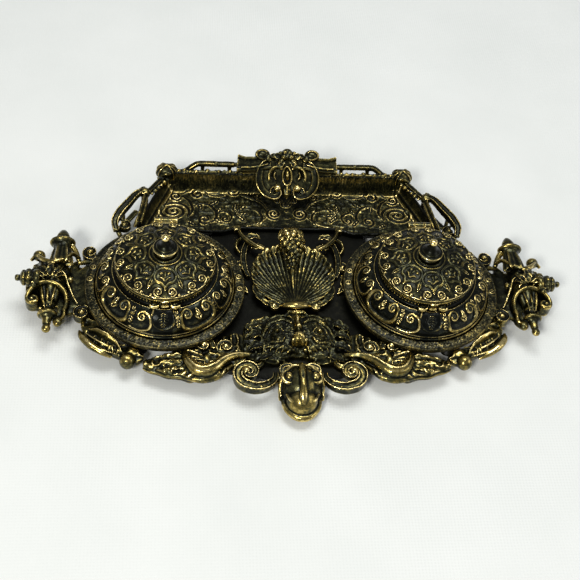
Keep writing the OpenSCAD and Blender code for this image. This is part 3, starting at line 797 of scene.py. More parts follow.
def lid_relief(theta, k, r, z):
    """Eight tulip petals, pointed leaves between them and sixteen volutes on the border."""
    a = theta + math.pi / 2
    pitch = 2 * math.pi / PETALS
    fold = (a + pitch / 2) % pitch - pitch / 2
    x, y = (r * np.sin(fold)).ravel(), (r * np.cos(fold)).ravel()
    rel = Relief(x, y)
    rel.ridge(petal_outline(), 0.8, 0.9)
    rel.bead(0, 17.4, 4.0, 4.6, 0.45, form="soft")
    for s in (1, -1):
        f = (lambda p: p) if s > 0 else mirrored
        rel.bead(s * 2.3, 15.0, 1.2, 1.0, 0.8)
        rel.ridge(f(smooth([(0.4, 19.6), (2.0, 18.0), (3.4, 17.6)])), 0.5, 0.7, ends=(0.6, 0.3))
        rel.ridge(f(rim_volute()), 0.5, 1.25, ends=(0.7, 0.9))
        rel.bead(s * 3.95, 26.2, 2.9, 2.7, 1.0, form="soft")
        rel.bead(s * 3.95, 26.2, 0.95, 0.95, 1.6)
        rel.bead(s * 8.2, 27.6, 1.0, 1.2, 1.0)
    rel.bead(0, 16.0, 0.95, 2.5, 0.95)
    rel.bead(0, 24.9, 0.8, 0.9, 0.7)
    # pointed leaves on the lines between the petals
    u = pitch / 2
    for s in (1, -1):
        root = np.array([math.sin(u), math.cos(u)]) * 16.6 * [s, 1]
        tip = np.array([math.sin(u), math.cos(u)]) * 25.6 * [s, 1]
        rel.leaf(root, tip, 2.7, 1.0, lobes=1)
        rel.bead(*(np.array([math.sin(u), math.cos(u)]) * 14.4 * [s, 1]), 0.7, 0.9, 0.6)
    h = rel.h.reshape(r.shape)
    h = np.maximum(h, 0.65 * np.exp(-(((r - 9.6) / 0.7) ** 2)))
    h = np.maximum(h, 0.42 * np.exp(-(((r - 29.75) / 0.28) ** 2)))
    h = h - 0.30 * np.exp(-(((r - 30.25) / 0.22) ** 2))
    top = (k >= lid_rows[0]) & (k <= lid_rows[1])
    p = np.stack([r * np.cos(theta), r * np.sin(theta), z], axis=-1).reshape(-1, 3)
    skin = 0.05 * noise(p, 1.3, 4.0) + 0.06 * noise(p, 4.5, 9.0)
    return np.where(top, h + skin.reshape(r.shape), 0.25 * skin.reshape(r.shape))


def lid_profile():
    """Outline of a lid from the axis out and back: hollow underside, then the domed top."""
    low = rounded([(0, LID_TOP - 2.6), (9, LID_TOP - 2.6), (17, LID_Z + 5.2), (20.5, LID_Z + 3.4),
                   (21.3, LID_Z), (21.3, LID_Z - 1.9), (22.9, LID_Z - 1.9), (23.5, LID_Z),
                   (LID_R - 0.3, LID_Z)], 0.35, 1.2)
    high = rounded([(LID_R - 0.3, LID_Z), (LID_R, LID_Z + 0.5), (LID_R, LID_Z + 1.7),
                    (LID_R - 0.5, LID_Z + 2.5), (LID_R - 2.6, LID_Z + 3.3), (24, LID_Z + 5.1),
                    (18, LID_Z + 7.0), (12.5, LID_Z + 8.2), (8.4, LID_Z + 8.8), (7.6, LID_TOP),
                    (0, LID_TOP)], 0.4)
    edge = even(high[:14], 0.35)
    top = even(high[13:], 0.24)
    prof = np.vstack([low, edge[1:], top[1:]])
    return prof, (len(low) + 2, len(prof))


LID_PROFILE, lid_rows = lid_profile()


def barrel(width, y, z, r=2.5):
    """Turned knuckle along X with eased ends."""
    prof = rounded([(0, -width / 2), (r, -width / 2), (r, width / 2), (0, width / 2)], 0.4, 0.5)
    return lathe(prof, 40).turned("y", 90).moved(0, y, z)


HINGE_R = LID_R + 3
HINGE_Z = LID_Z + 0.4


def build_lid(side):
    """Domed lid with its hinge tongue and barrel; side is -1 for left, 1 for right."""
    name = SIDE_NAME[side]
    solid = lathe(LID_PROFILE, 640, lid_relief)
    tongue = sweep([(0, LID_R - 4, LID_Z + 1.5), (0, LID_R + 0.6, LID_Z + 1.3),
                    (0, HINGE_R - 1, LID_Z + 0.6)], 3.0, 0.9, BOX)
    solid = joined([solid, tongue, barrel(6.0, HINGE_R, HINGE_Z)])
    solid = solid.moved(side * WELL_X, WELL_Y, 0)
    place("lid_" + name, solid, "lid_" + name, ["lid_" + name], PATINA,
          wear=(-0.08, 0.8, 0.45))


def knob_profile():
    """Turned baluster knob that stands on top of a lid."""
    z = LID_TOP
    pts = [(0, z - 5.0), (2.0, z - 5.0), (2.0, z - 0.4), (5.6, z - 0.4), (5.6, z + 0.3), (5.0, z + 0.9),
           (4.6, z + 1.5), (4.6, z + 2.8), (5.6, z + 3.3), (7.1, z + 3.4), (7.5, z + 3.8), (7.5, z + 4.4),
           (7.0, z + 4.8), (6.2, z + 4.7), (5.4, z + 5.3), (5.3, z + 5.6), (4.6, z + 6.0), (3.4, z + 7.0),
           (2.6, z + 8.3), (2.0, z + 9.6), (1.7, z + 10.2), (1.9, z + 10.5), (1.5, z + 10.75),
           (2.0, z + 11.0), (2.6, z + 12.1), (2.3, z + 13.3), (1.3, z + 14.15), (0, z + 14.4)]
    return even(rounded(pts, 0.35), 0.22)


def build_knob(side):
    """Knob screwed to the middle of a lid."""
    name = SIDE_NAME[side]
    solid = lathe(knob_profile(), 96, lambda t, k, r, z: 0.03 * noise(
        np.stack([r * np.cos(t), r * np.sin(t), z], axis=-1).reshape(-1, 3), 1.6, 2.0).reshape(r.shape))
    solid = solid.moved(side * WELL_X, WELL_Y, 0)
    place("knob_" + name, solid, "lid_" + name, ["knob_" + name], RUBBED,
          wear=(-0.3, 0.9, 0.4), extra=lambda x, y, z: 1.3 * (z > LID_TOP + 11) + 0.7 * (
              np.hypot(x - side * WELL_X, y - WELL_Y) > 7.15))


COVER_TOP = 33.0
COVER_IN = 30.5


def cover_profile():
    """Outline of the domed ring that carries the scrollwork round a well."""
    seat = PAN_TOP - 2.5
    dome = [(COVER_IN + (COVER_R - 1.6 - COVER_IN) * math.cos(a),
             PAN_TOP + 1.0 + (COVER_TOP - PAN_TOP - 1.0) * math.sin(a))
             for a in np.linspace(0, math.pi / 2, 40)]
    rim = [(COVER_R, seat + 0.2), (COVER_R, PAN_TOP + 0.5), (COVER_R - 0.5, PAN_TOP + 1.1),
           (COVER_R - 1.0, PAN_TOP + 0.8)]
    base = rounded([(24.5, LID_Z - 0.3), (24.5, 31.5), (30, 29.5), (38, 23), (COVER_R - 2, seat),
                    (COVER_R, seat + 0.2)], 0.4, 1.5)
    collar = rounded([(COVER_IN, COVER_TOP), (29.4, COVER_TOP + 0.5), (29.0, 34.6), (29.3, 35.2),
                      (29.0, 35.8), (29.0, LID_Z - 0.5), (28.6, LID_Z - 0.2), (24.9, LID_Z - 0.2),
                      (24.5, LID_Z - 0.3)], 0.25, 0.6)
    lip = even(rounded(rim, 0.3), 0.25)
    field = even(dome, 0.25)
    prof = np.vstack([base, lip[1:], field, collar[1:]])
    first = len(base) + len(lip) - 1
    return prof, first, first + len(field)


COVER_PROFILE, COVER_A, COVER_B = cover_profile()
COVER_S = np.r_[0, np.cumsum(np.linalg.norm(np.diff(COVER_PROFILE[COVER_A:COVER_B], axis=0), axis=1))]


def c_scroll_path(half, eye, top, low):
    """Open C whose two ends curl in to a pair of volutes; the C opens upwards."""
    run = smooth([(0, low), (half * 0.55, low + 0.5), (half * 0.88, low + 2.6), (half, top - 2.2),
                  (half - 0.35, top + 1.6), (half - 2.2, top + eye + 0.6)], 0.3)
    right = curl(run, eye, 1.5, 1, 0.55, 0.3)
    return np.vstack([mirrored(right)[::-1], right[1:]])


def cover_relief(theta, k, r, z):
    """C-scrolls with paired volutes round the dome, and a plain shield at the front."""
    inside = (k >= COVER_A) & (k < COVER_B)
    s = np.interp(k, np.arange(COVER_A, COVER_B), COVER_S)
    deg = (np.degrees(theta) + 90 + 180) % 360 - 180
    total = np.zeros(r.size)
    aa, bb = deg.ravel(), s.ravel()
    use = inside.ravel()
    idx = np.nonzero(use)[0]
    rel = Relief(aa[idx] * SCROLL_ARC, bb[idx])

    def at(centre, path):
        return path + [centre * SCROLL_ARC, 0]

    def big(centre, half, eye, top):
        rel.ridge(at(centre, c_scroll_path(half, eye, top, 2.9)), 1.05, 1.7, ends=(0.8, 0.8))
        inner = smooth([(-half * 0.62, 5.0), (0, 4.1), (half * 0.62, 5.0)], 0.3)
        rel.ridge(at(centre, inner), 0.4, 0.5, ends=(0.2, 0.2))
        for e in (-1, 1):
            eye_x = e * (half - 2.2 - eye * 0.95)
            rel.bead(centre * SCROLL_ARC + eye_x, top + 0.25, 1.0, 1.0, 1.6)
        rel.leaf((centre * SCROLL_ARC, 7.4), (centre * SCROLL_ARC, 15.0), 2.5, 2.0, lobes=1)
        rel.bead(centre * SCROLL_ARC, 11.2, 2.1, 1.5, 2.2)

    def knot(centre, b=11.5):
        x = centre * SCROLL_ARC
        rel.bead(x, b, 1.9, 1.3, 1.9)
        rel.leaf((x, b - 0.5), (x - 0.3, b + 4.6), 2.1, 1.7, lobes=1)
        rel.leaf((x, b + 0.5), (x, b - 6.8), 2.1, 1.7, lobes=2)

    big(31.3, 10.9, 3.0, 11.4)
    big(-50.2, 10.9, 3.0, 11.4)
    knot(11.9, 12.3)
    knot(-30.2, 11.6)
    # single volute to the left of the shield, over a long arc
    run = smooth([(-31.0 * SCROLL_ARC, 3.0), (-22 * SCROLL_ARC, 2.5), (-14.0 * SCROLL_ARC, 4.4),
                  (-11.6 * SCROLL_ARC, 8.0), (-14.0 * SCROLL_ARC, 12.6), (-18.6 * SCROLL_ARC, 14.2)], 0.3)
    rel.ridge(curl(run, 3.1, 1.4, 1, 0.55, 0.3), 0.75, 1.3, ends=(0.3, 0.8))
    rel.bead(-18.7 * SCROLL_ARC, 10.9, 1.1, 1.1, 1.5)
    # shield
    shield = smooth([(-11.6 * SCROLL_ARC, 16.5), (-11.9 * SCROLL_ARC, 12.0), (-8.6 * SCROLL_ARC, 7.4),
                     (-1.2 * SCROLL_ARC, 5.3), (6.6 * SCROLL_ARC, 7.4), (9.4 * SCROLL_ARC, 12.0),
                     (9.0 * SCROLL_ARC, 16.5)], 0.3)
    rel.ridge(shield, 0.5, 0.6)
    rel.leaf((-1.2 * SCROLL_ARC, 15.4), (-1.2 * SCROLL_ARC, 6.4), 3.6, 1.0, lobes=3)
    # smaller scrolls round the sides and back
    for n in range(7):
        c = 48.8 + 17.0 + n * 34.9
        c = (c + 180) % 360 - 180
        rel.ridge(at(c, c_scroll_path(9.3, 2.7, 11.4, 3.4)), 0.7, 1.15, ends=(0.8, 0.8))
        rel.bead(c * SCROLL_ARC - 4.5, 11.6, 0.9, 0.9, 1.2)
        rel.bead(c * SCROLL_ARC + 4.5, 11.6, 0.9, 0.9, 1.2)
        rel.leaf((c * SCROLL_ARC, 6.4), (c * SCROLL_ARC, 13.0), 1.5, 1.2, lobes=1)
        knot(c - 17.45, 12.0)
    knot(48.8, 12.0)
    # leaf tips under the joints between scrolls, and a fine string line inside the rim
    rel.h = np.maximum(rel.h, 0.55 * np.exp(-(((rel.y - 0.9) / 0.3) ** 2)))
    rel.h = np.maximum(rel.h, 0.35 * np.exp(-(((rel.y - 17.6) / 0.3) ** 2)))
    total[idx] = rel.h
    total = total.reshape(r.shape)
    p = np.stack([r * np.cos(theta), r * np.sin(theta), z], axis=-1).reshape(-1, 3)
    skin = (0.05 * noise(p, 1.2, 6.0) + 0.09 * noise(p, 4.0, 2.0)).reshape(r.shape)
    rib = 0.25 * np.sin(theta * 90) * ((z > 35.0) & (z < 36.2) & (r > 28))
    return np.where(inside, total + skin, 0.3 * skin + rib)


def build_cover(side):
    """Domed cover of one well with its two hinge ears."""
    name = SIDE_NAME[side]
    solid = lathe(COVER_PROFILE, 840, cover_relief)
    ears = []
    for s in (-1, 1):
        x = s * (3 + 0.2 + 2)
        ears.append(barrel(4.0, HINGE_R, HINGE_Z).moved(x, 0, 0))
        ears.append(sweep([(x, HINGE_R - 2.0, 28.8), (x, HINGE_R - 1.2, 33), (x, HINGE_R - 0.3, HINGE_Z)],
                          2.0, (2.6, 2.3, 2.0), BOX, up=(0, -1, 0)))
        ears.append(sweep([(x, 29.4, 32.5), (x, 31.5, 32.3), (x, HINGE_R - 1.0, 33.6)], 2.0, 2.0, BOX))
    solid = joined([solid] + ears).moved(side * WELL_X, WELL_Y, 0)
    # the shield below the clasp is pushed dark: painted shadow under the clasp and its tab
    place("well_cover_" + name, solid, STAND, ["well_cover_" + name], BLUE,
          wear=(-0.02, 1.05, 0.35), extra=lambda x, y, z: -0.8 * (
              (np.abs(x - side * WELL_X + 0.8) < 5.6) & (y - WELL_Y < -31.5) & (z < 33)))


def pan_profile():
    """Outline of the saucer under one well, with its moulded rim."""
    low = rounded([(0, BASE_Z), (29.8, BASE_Z), (29.8, DECK), (43, DECK)], 0.3, 1.6)
    wall = rounded([(43, DECK), (45.0, 10.2), (47.2, 12.6), (48.3, 14.4), (48.1, 15.2), (48.9, 15.8),
                    (PAN_R, 16.6), (PAN_R, 17.6), (48.5, 18.2), (47.9, 18.0), (46.0, 18.4),
                    (44.0, PAN_TOP), (43.3, PAN_TOP), (42.8, 17.4), (42.8, 16.0)], 0.35, 0.34)
    inner = rounded([(42.8, 16.0), (39.5, 16.0), (27.8, DECK + 2.4), (27.8, BASE_Z + 2.4),
                     (0, BASE_Z + 2.4)], 0.3, 1.6)
    prof = np.vstack([low, wall[1:], inner[1:]])
    return prof, len(low), len(low) + len(wall)


PAN_PROFILE, PAN_A, PAN_B = pan_profile()


def pan_relief(theta, k, r, z):
    """Granular sloping rim with a string edge, and pairs of small rosettes at its sides."""
    p = np.stack([r * np.cos(theta), r * np.sin(theta), z], axis=-1).reshape(-1, 3)
    grit = (0.13 * noise(p, 0.8, 3.0) + 0.10 * noise(p, 2.2, 5.0)).reshape(r.shape)
    on_top = (z > 17.0) & (r > 43.2) & (r < 48.4)
    h = np.where(on_top, grit, 0.35 * grit)
    h = np.where((k >= PAN_A) & (k < PAN_B), h, 0.0)
    for a in (-0.07, 0.14, math.pi - 0.07, math.pi - 0.28, 1.1, 1.3, 2.0, 2.2):
        x, y = 45.9 * math.cos(a), 45.9 * math.sin(a)
        d = np.hypot(r * np.cos(theta) - x, r * np.sin(theta) - y)
        ring = 0.45 * np.exp(-(((d - 1.5) / 0.5) ** 2)) + 0.5 * np.clip(1 - (d / 0.8) ** 2, 0, 1)
        h = np.where((z > 16.8) & (d < 3) & (r > 43.3), np.maximum(h, ring), h)
    return h


def build_pan(side):
    """Saucer of one well."""
    name = SIDE_NAME[side]
    solid = lathe(PAN_PROFILE, 720, pan_relief).moved(side * WELL_X, WELL_Y, 0)
    place("well_pan_" + name, solid, STAND, ["well_pan_" + name], GRAINY,
          wear=(0.14, 0.75, 0.4))


def build_clasp(side):
    """Two cupped lugs and their bar below the lid's front, and the waisted tab between them."""
    name = SIDE_NAME[side]
    y = -(LID_R - 1.5)
    parts = []
    for s in (-1, 1):
        cup = smooth([(s * 3.6, -1.6), (s * 4.2, -2.9), (s * 6.2, -3.3), (s * 8.2, -2.8), (s * 8.8, -1.4)],
                     0.3)
        parts.append(sweep(lift(cup, (35.6, 35.0, 34.8, 35.0, 35.6)) + [0, y + 0.4, 0], (0.55, 0.9, 0.55),
                           (1.0, 1.5, 1.0)))
        parts.append(ball(s * 6.2, y - 0.3, 34.4, 2.4, 1.7, 2.0))
    parts.append(sweep([(-6.6, y + 0.4, 33.4), (0, y - 0.2, 33.2), (6.6, y + 0.4, 33.4)], 0.7, 0.7))
    # the front rims of the two cups are made lighter: rubbed brass, partly a painted highlight on their
    # rounded fronts
    cast("clasp_lugs_" + name, [joined(parts).moved(side * WELL_X, WELL_Y, 0)], "gilt_bronze", voxel=0.28,
         wear=(-0.45, 1.1, 0.3), seed=side + 3, extra=lambda px, py,
         pz: 0.95 * ((py - WELL_Y < y - 2.1) & (pz > 34.0)))
    z = LID_Z - 3.6
    outline = smooth([(2.9, z + 5.4), (2.5, z + 4.3), (1.35, z + 2.9), (1.5, z + 1.6), (2.6, z + 0.7),
                      (2.5, z + 0.05)], 0.25)
    prof = np.vstack([outline, [[0, z]]])
    rows = []
    for w, h in prof:
        t = np.linspace(-1, 1, 15)
        front = -LID_R - 0.35 - 1.25 * np.sqrt(np.clip(1 - t**2, 0, 1)) * (0.55 + 0.45 * min(w / 2.5, 1))
        back = np.full(13, -LID_R + 0.05)
        ring = [(w * a, b, h) for a, b in zip(t, front)] + [(w * a, b, h) for a,
                b in zip(t[1:-1][::-1], back)]
        rows.append(ring)
    rows = np.array(rows[::-1])
    n, m = rows.shape[:2]
    tab = Solid(rows.reshape(-1, 3), grid_faces(n, m, wrap_cols=True),
                [list(range(m))[::-1], [(n - 1) * m + k for k in range(m)]])
    tab = tab.moved(side * WELL_X, WELL_Y, 0)
    place("thumb_tab_" + name, tab, "lid_" + name, ["thumb_tab_" + name], GILT,
          wear=(0.35, 0.5, 0.5))


for well in (-1, 1):
    build_lid(well)
    build_knob(well)
    build_cover(well)
    build_pan(well)
    build_clasp(well)


# ---------- slabs with relief ----------
def slab(top, bottom_z):
    """Closed solid between a grid of top points and a flat underside."""
    n, m = top.shape[:2]
    low = top.copy()
    low[..., 2] = bottom_z
    q = grid_faces(n, m)
    under = grid_faces(n, m)[:, ::-1] + n * m
    a, b = np.arange(m - 1), np.arange(n - 1)
    walls = [np.stack([a + 1, a, a + n * m, a + 1 + n * m], axis=1),
             np.stack([(n - 1) * m + a, (n - 1) * m + a + 1, (n - 1) * m + a + 1 + n * m,
             (n - 1) * m + a + n * m], axis=1), np.stack([b * m, (b + 1) * m, (b + 1) * m + n * m,
             b * m + n * m], axis=1), np.stack([(b + 1) * m + m - 1, b * m + m - 1, b * m + m - 1 + n * m,
             (b + 1) * m + m - 1 + n * m], axis=1)]
    return Solid(np.concatenate([top, low]).reshape(-1, 3), np.vstack([q, under] + walls))


def clockwise(outline):
    x, y = outline[:, 0], outline[:, 1]
    area = np.sum(x * np.roll(y, -1) - y * np.roll(x, -1))
    return outline[::-1].copy() if area > 0 else outline


def disc(centre, outline, rings, height, bottom_z):
    """Closed solid over a star-shaped plan outline; height(x, y, rho) gives the top."""
    outline = clockwise(outline)
    around = len(outline)
    rho = np.linspace(0, 1, rings + 1)[1:, None]
    x = centre[0] + (outline[None, :, 0] - centre[0]) * rho
    y = centre[1] + (outline[None, :, 1] - centre[1]) * rho
    r = np.repeat(rho, around, axis=1)
    z = height(x.ravel(), y.ravel(), r.ravel()).reshape(x.shape)
    mid = float(height(np.array([centre[0]]), np.array([centre[1]]), np.array([0.0]))[0])
    top = np.stack([x, y, z], axis=-1).reshape(-1, 3)
    base = np.column_stack([outline, np.full(around, bottom_z)])
    v = np.vstack([top, base, [[centre[0], centre[1], mid], [centre[0], centre[1], bottom_z]]])
    q = grid_faces(rings, around, wrap_cols=True)[:, ::-1]
    k = np.arange(around)
    k2 = (k + 1) % around
    o, b = (rings - 1) * around, rings * around
    wall = np.stack([o + k, b + k, b + k2, o + k2], axis=1)
    c0, c1 = b + around, b + around + 1
    extra = [[c0, int(i), int(j)] for i, j in zip(k, k2)] + [[c1, int(b + j), int(b + i)] for i,
            j in zip(k, k2)]
    return Solid(v, np.vstack([q, wall]), extra)


def closed_outline(points, count):
    """Smooth closed outline through a few points, evenly spaced."""
    p = np.asarray(points, float)
    path = smooth(np.vstack([p[-2:], p, p[:3]]), 0.2)
    i = int(np.argmin(np.linalg.norm(path[:len(path) // 2] - p[0], axis=1)))
    j = len(path) // 2 + int(np.argmin(np.linalg.norm(path[len(path) // 2:] - p[0], axis=1)))
    loop = path[i:j + 1]
    s = np.r_[0, np.cumsum(np.linalg.norm(np.diff(loop, axis=0), axis=1))]
    t = np.linspace(0, s[-1], count, endpoint=False)
    return np.stack([np.interp(t, s, loop[:, k]) for k in range(2)], axis=1)


def both(points):
    """Right-hand outline points followed by their mirror images, as one loop."""
    right = np.asarray(points, float)
    left = mirrored(right)[::-1]
    keep = np.abs(left[:, 0]) > 1e-6
    return np.vstack([right, left[keep]])


def volute(x, y, z, radius, turns, start, hand, w, h, rise=0.0, end=0.7):
    """Free-standing volute on its own, with a ball at its eye."""
    t = np.linspace(0, 1, int(34 * turns))
    r = radius + (end - radius) * t**0.85
    a = math.radians(start) + hand * 2 * math.pi * turns * t
    path = np.column_stack([x + r * np.cos(a), y + r * np.sin(a), z + rise * t])
    return [sweep(path, (w, w, 0.6 * w), (h, h, 0.8 * h), STRAP),
            ball(x, y, z + rise + 0.2 * h, 1.15 * w + 0.3, rz=h * 1.0)]


# ---------- grotesque mask ----------
def mask_height(x, y, rho):
    """A plainly fanciful mask: brow arcs, hooded eyes, knobbed nose, whiskers over an open mouth."""
    base = DECK + 3.7 + 4.7 * np.clip(1 - rho**2.2, 0, 1) ** 0.9
    rel = Relief(x, y)
    for s in (1, -1):
        f = (lambda p: np.array(p, float)) if s > 0 else (lambda p: mirrored(np.array(p, float)))
        rel.ridge(f(smooth([(4.2, -36.2), (9.5, -32.6), (15.5, -34.0), (20.0, -39.4), (22.0, -46.0)])),
                  1.6, 2.1, ends=(0.5, 0.4))
        rel.ridge(f(smooth([(3.4, -31.5), (8.0, -28.6), (13.5, -29.0), (18.0, -33.0)])), 1.2, 2.0,
                  ends=(0.4, 0.3))
        rel.bead(s * 13.3, -41.4, 4.6, 3.2, 2.6, turn=-s * 0.35, form="soft")
        rel.ridge(f(smooth([(9.2, -42.4), (11.5, -39.6), (15.4, -39.4), (17.8, -43.0)])), 0.8, 1.7,
                  ends=(0.5, 0.4))
        rel.ridge(f(smooth([(9.4, -43.6), (12.6, -45.4), (16.4, -44.8)])), 0.6, 1.1, ends=(0.4, 0.4))
        rel.bead(s * 13.2, -42.4, 1.7, 1.5, 3.0)
        rel.ridge(f(smooth([(8.2, -47.0), (11.0, -50.4), (16.5, -50.0), (21.6, -46.8)])), 1.0, 2.0,
                  ends=(0.3, 0.5))
        rel.bead(s * 12.0, -48.0, 5.0, 4.2, 2.0, form="soft")
        for k in range(5):
            a = (3.2 + 3.3 * k, -57.6 + 0.5 * k)
            b = (7.6 + 3.6 * k, -52.6 + 0.7 * k)
            rel.ridge(f(smooth([(3.4 + 0.9 * k, -55.0 + 0.4 * k), ((a[0] + b[0]) / 2, -55.8 + 0.7 * k),
                                (a[0] + 4.4, a[1] + 0.2)])), 0.85, 1.9, ends=(0.9, 0.2))
        rel.ridge(f(smooth([(19.4, -56.0), (22.0, -52.5), (20.6, -49.0), (18.4, -51.0)])), 0.9, 1.6,
                  ends=(0.4, 0.8))
    rel.bead(0, -33.6, 1.7, 2.9, 4.4)
    rel.bead(0.2, -40.6, 2.2, 2.5, 4.6)
    rel.ridge(smooth([(0, -36), (0, -48)]), 2.2, 3.4, form="soft")
    rel.bead(0, -49.2, 4.6, 4.2, 6.8)
    rel.bead(-3.8, -51.0, 2.0, 1.8, 4.6)
    rel.bead(3.8, -51.0, 2.0, 1.8, 4.6)
    rel.ridge(smooth([(-6.6, -28.4), (-4.0, -26.2), (0, -25.4), (4.0, -26.2), (6.6, -28.4)]), 1.7, 3.4,
              ends=(0.5, 0.5))
    p = np.column_stack([x, y, base])
    fleece = 0.6 * np.abs(noise(p, 1.5, 8.0)) + 0.5 * noise(p, 3.2, 4.0)
    return np.minimum(base + rel.h + fleece * (rho < 0.97), 26.4)


def build_mask():
    """Relief face between the creature head and the shell."""
    outline = closed_outline(both([(0, -25.4), (5.0, -25.0), (7.6, -27.2), (12.0, -27.4), (17.5, -30.8),
                                   (21.3, -36.5), (22.8, -44.0), (22.9, -52.0), (20.0, -57.6),
                                   (13.5, -60.6), (7.0, -59.6), (5.2, -57.0), (0, -55.9)]), 420)
    face = disc((0, -43.0), outline, 84, mask_height, DECK)
    parts = [face]
    # leafy web that carries the mask between the pans
    ground = closed_outline(both([(0, -24.6), (11.0, -26.0), (22.0, -29.4), (31.4, -34.0), (33.0, -42.0),
                                  (33.0, -51.0), (30.0, -58.6), (24.0, -60.6), (17.0, -62.6),
                                  (10.6, -62.0), (6.4, -58.6), (0, -57.4)]), 420)

    def leafage(x, y, rho):
        vein = veins(x, y, 4.4, 14.0, 2.6)
        return DECK + 3.4 + 1.6 * np.exp(-(((np.abs(x) - 21)
                / 6.0) ** 2)) - 1.4 * rho**8 + 1.5 * vein + 0.4 * plane_noise(x, y, 1.8, 5.0)

    parts.append(disc((0, -43.0), ground, 50, leafage, DECK - 0.6))
    for s in (-1, 1):
        for a, b, c, w in (((20.4, -33.6, 13.6), (26.0, -35.6, 15.6), (32.0, -40.0, 13.4), 3.2),
                           ((21.6, -41.6, 13.8), (27.0, -43.6, 15.8), (33.0, -46.0, 13.2), 3.4),
                           ((20.6, -50.0, 13.8), (26.6, -51.6, 15.4), (32.6, -55.0, 12.8), 3.4),
                           ((16.0, -57.0, 13.4), (21.6, -59.6, 14.6), (27.6, -61.4, 12.0), 2.8)):
            parts.append(leaf3d([(s * p[0], p[1], p[2]) for p in (a, b, c)], (0.9, w, 0.8 * w, 0.4), 0.28,
                                3, 1.6))
        parts += volute(s * 28.6, -37.6, 13.6, 3.0, 1.2, 90 + s * 60, -s, 0.9, 1.3, rise=0.6)
    # the nose is made lighter: rubbed brass, partly a painted highlight; the top of the middle ridge is
    # rubbed gilt
    cast("mask_boss", parts, "web_bronze", voxel=0.3, ease=1, wear=(-0.06, 0.6, 0.35), seed=2,
         extra=lambda x, y, z: 0.7 * ((abs(x) < 4.4) & (y < -46.5) & (y > -53)) + 0.7
         * ((abs(x) < 2.4) & (y > -42)))


# ---------- creature's head ----------
def build_head():
    """Creature head at the front: lips, jaw, nose ridge, ringed eyes, brows and locks of hair."""
    parts = [ball(0, -77.2, 8.2, 13.0, 13.2, 13.2, n=60), ball(0, -86.0, 8.6, 9.6, 10.6, 9.4, n=56)]
    lip = smooth([(-9.4, -85.0, 13.2), (-6.2, -89.4, 13.4), (0, -91.4, 13.4), (6.2, -89.4, 13.4),
                  (9.4, -85.0, 13.2)])
    parts.append(sweep(lip, (0.6, 1.9, 2.8, 1.9, 0.6), (0.6, 1.6, 2.2, 1.6, 0.6)))
    jaw = smooth([(-12.0, -81.0, 7.0), (-9.6, -90.0, 6.6), (-4.8, -95.8, 6.4), (0, -97.3, 6.4),
                  (4.8, -95.8, 6.4), (9.6, -90.0, 6.6), (12.0, -81.0, 7.0)])
    parts.append(sweep(jaw, (0.8, 1.9, 2.3, 1.9, 0.8), (0.8, 1.9, 2.3, 1.9, 0.8)))
    ridge = smooth([(0, -66.6, 18.0), (0, -71.0, 20.7), (0, -78.0, 21.4), (0, -84.5, 20.0),
                    (0, -90.0, 17.2), (0, -93.0, 14.6)])
    parts.append(sweep(ridge, (1.0, 1.9, 1.9, 1.9, 2.2, 1.9), (0.9, 1.3, 1.4, 1.5, 1.4, 1.2)))
    for s in (-1, 1):
        parts.append(ball(s * 7.7, -76.4, 17.8, 2.7, 3.1, 3.0))
        ring = [(s * 7.7 + 3.9 * math.cos(a), -76.4 + 4.3 * math.sin(a), 18.2 - 0.25 * math.cos(a))
                for a in np.linspace(0.3, 2 * math.pi + 0.1, 40)]
        parts.append(sweep(ring, (0.6, 1.2, 0.9), (0.6, 1.1, 0.8)))
        brow = smooth([(s * 1.6, -70.0, 20.4), (s * 5.4, -70.0, 20.2), (s * 10.0, -73.2, 17.6),
                       (s * 12.6, -79.0, 13.2), (s * 12.4, -84.6, 10.2)])
        parts.append(sweep(brow, (0.6, 1.1, 1.3, 1.1, 0.5), (0.6, 1.0, 1.1, 0.9, 0.5)))
        loop = smooth([(s * 2.8, -66.6, 12.6), (s * 6.4, -64.6, 12.8), (s * 10.8, -66.0, 12.6),
                       (s * 11.6, -69.8, 12.4)])
        parts.append(sweep(loop, (0.8, 1.2, 1.2, 0.8), (1.0, 1.5, 1.5, 1.0), STRAP))
        for k in range(4):
            y = -70.5 - 3.6 * k
            lock = smooth([(s * 10.4, y, 13.0 - 0.6 * k), (s * 12.6, y - 1.4, 10.6 - 0.5 * k),
                           (s * 13.0, y - 4.2, 7.8 - 0.4 * k)])
            parts.append(sweep(lock, (0.5, 1.1, 0.4), (0.5, 1.0, 0.4)))
    parts.append(sweep([(-9.5, -67.4, 10.6), (0, -67.0, 10.8), (9.5, -67.4, 10.6)], 5.0, 1.7, BOX))
    for s in (-1, 1):
        parts.append(sweep([(s * 7.6, -62.3, 11.2), (s * 9.2, -67, 11.4), (s * 10.5, -72, 11.2)], 2.2, 2.1,
                           BOX))
    cast("creature_head", parts, "gilt_bronze", voxel=0.34, ease=2, wear=(-0.14, 1.3, 0.25, 0.35), seed=5,
         extra=lambda x, y, z: 0.5 * (y < -88.5), clip=((-13.6, -99.9, 4.0), (13.6, -62.0, 22.5)))


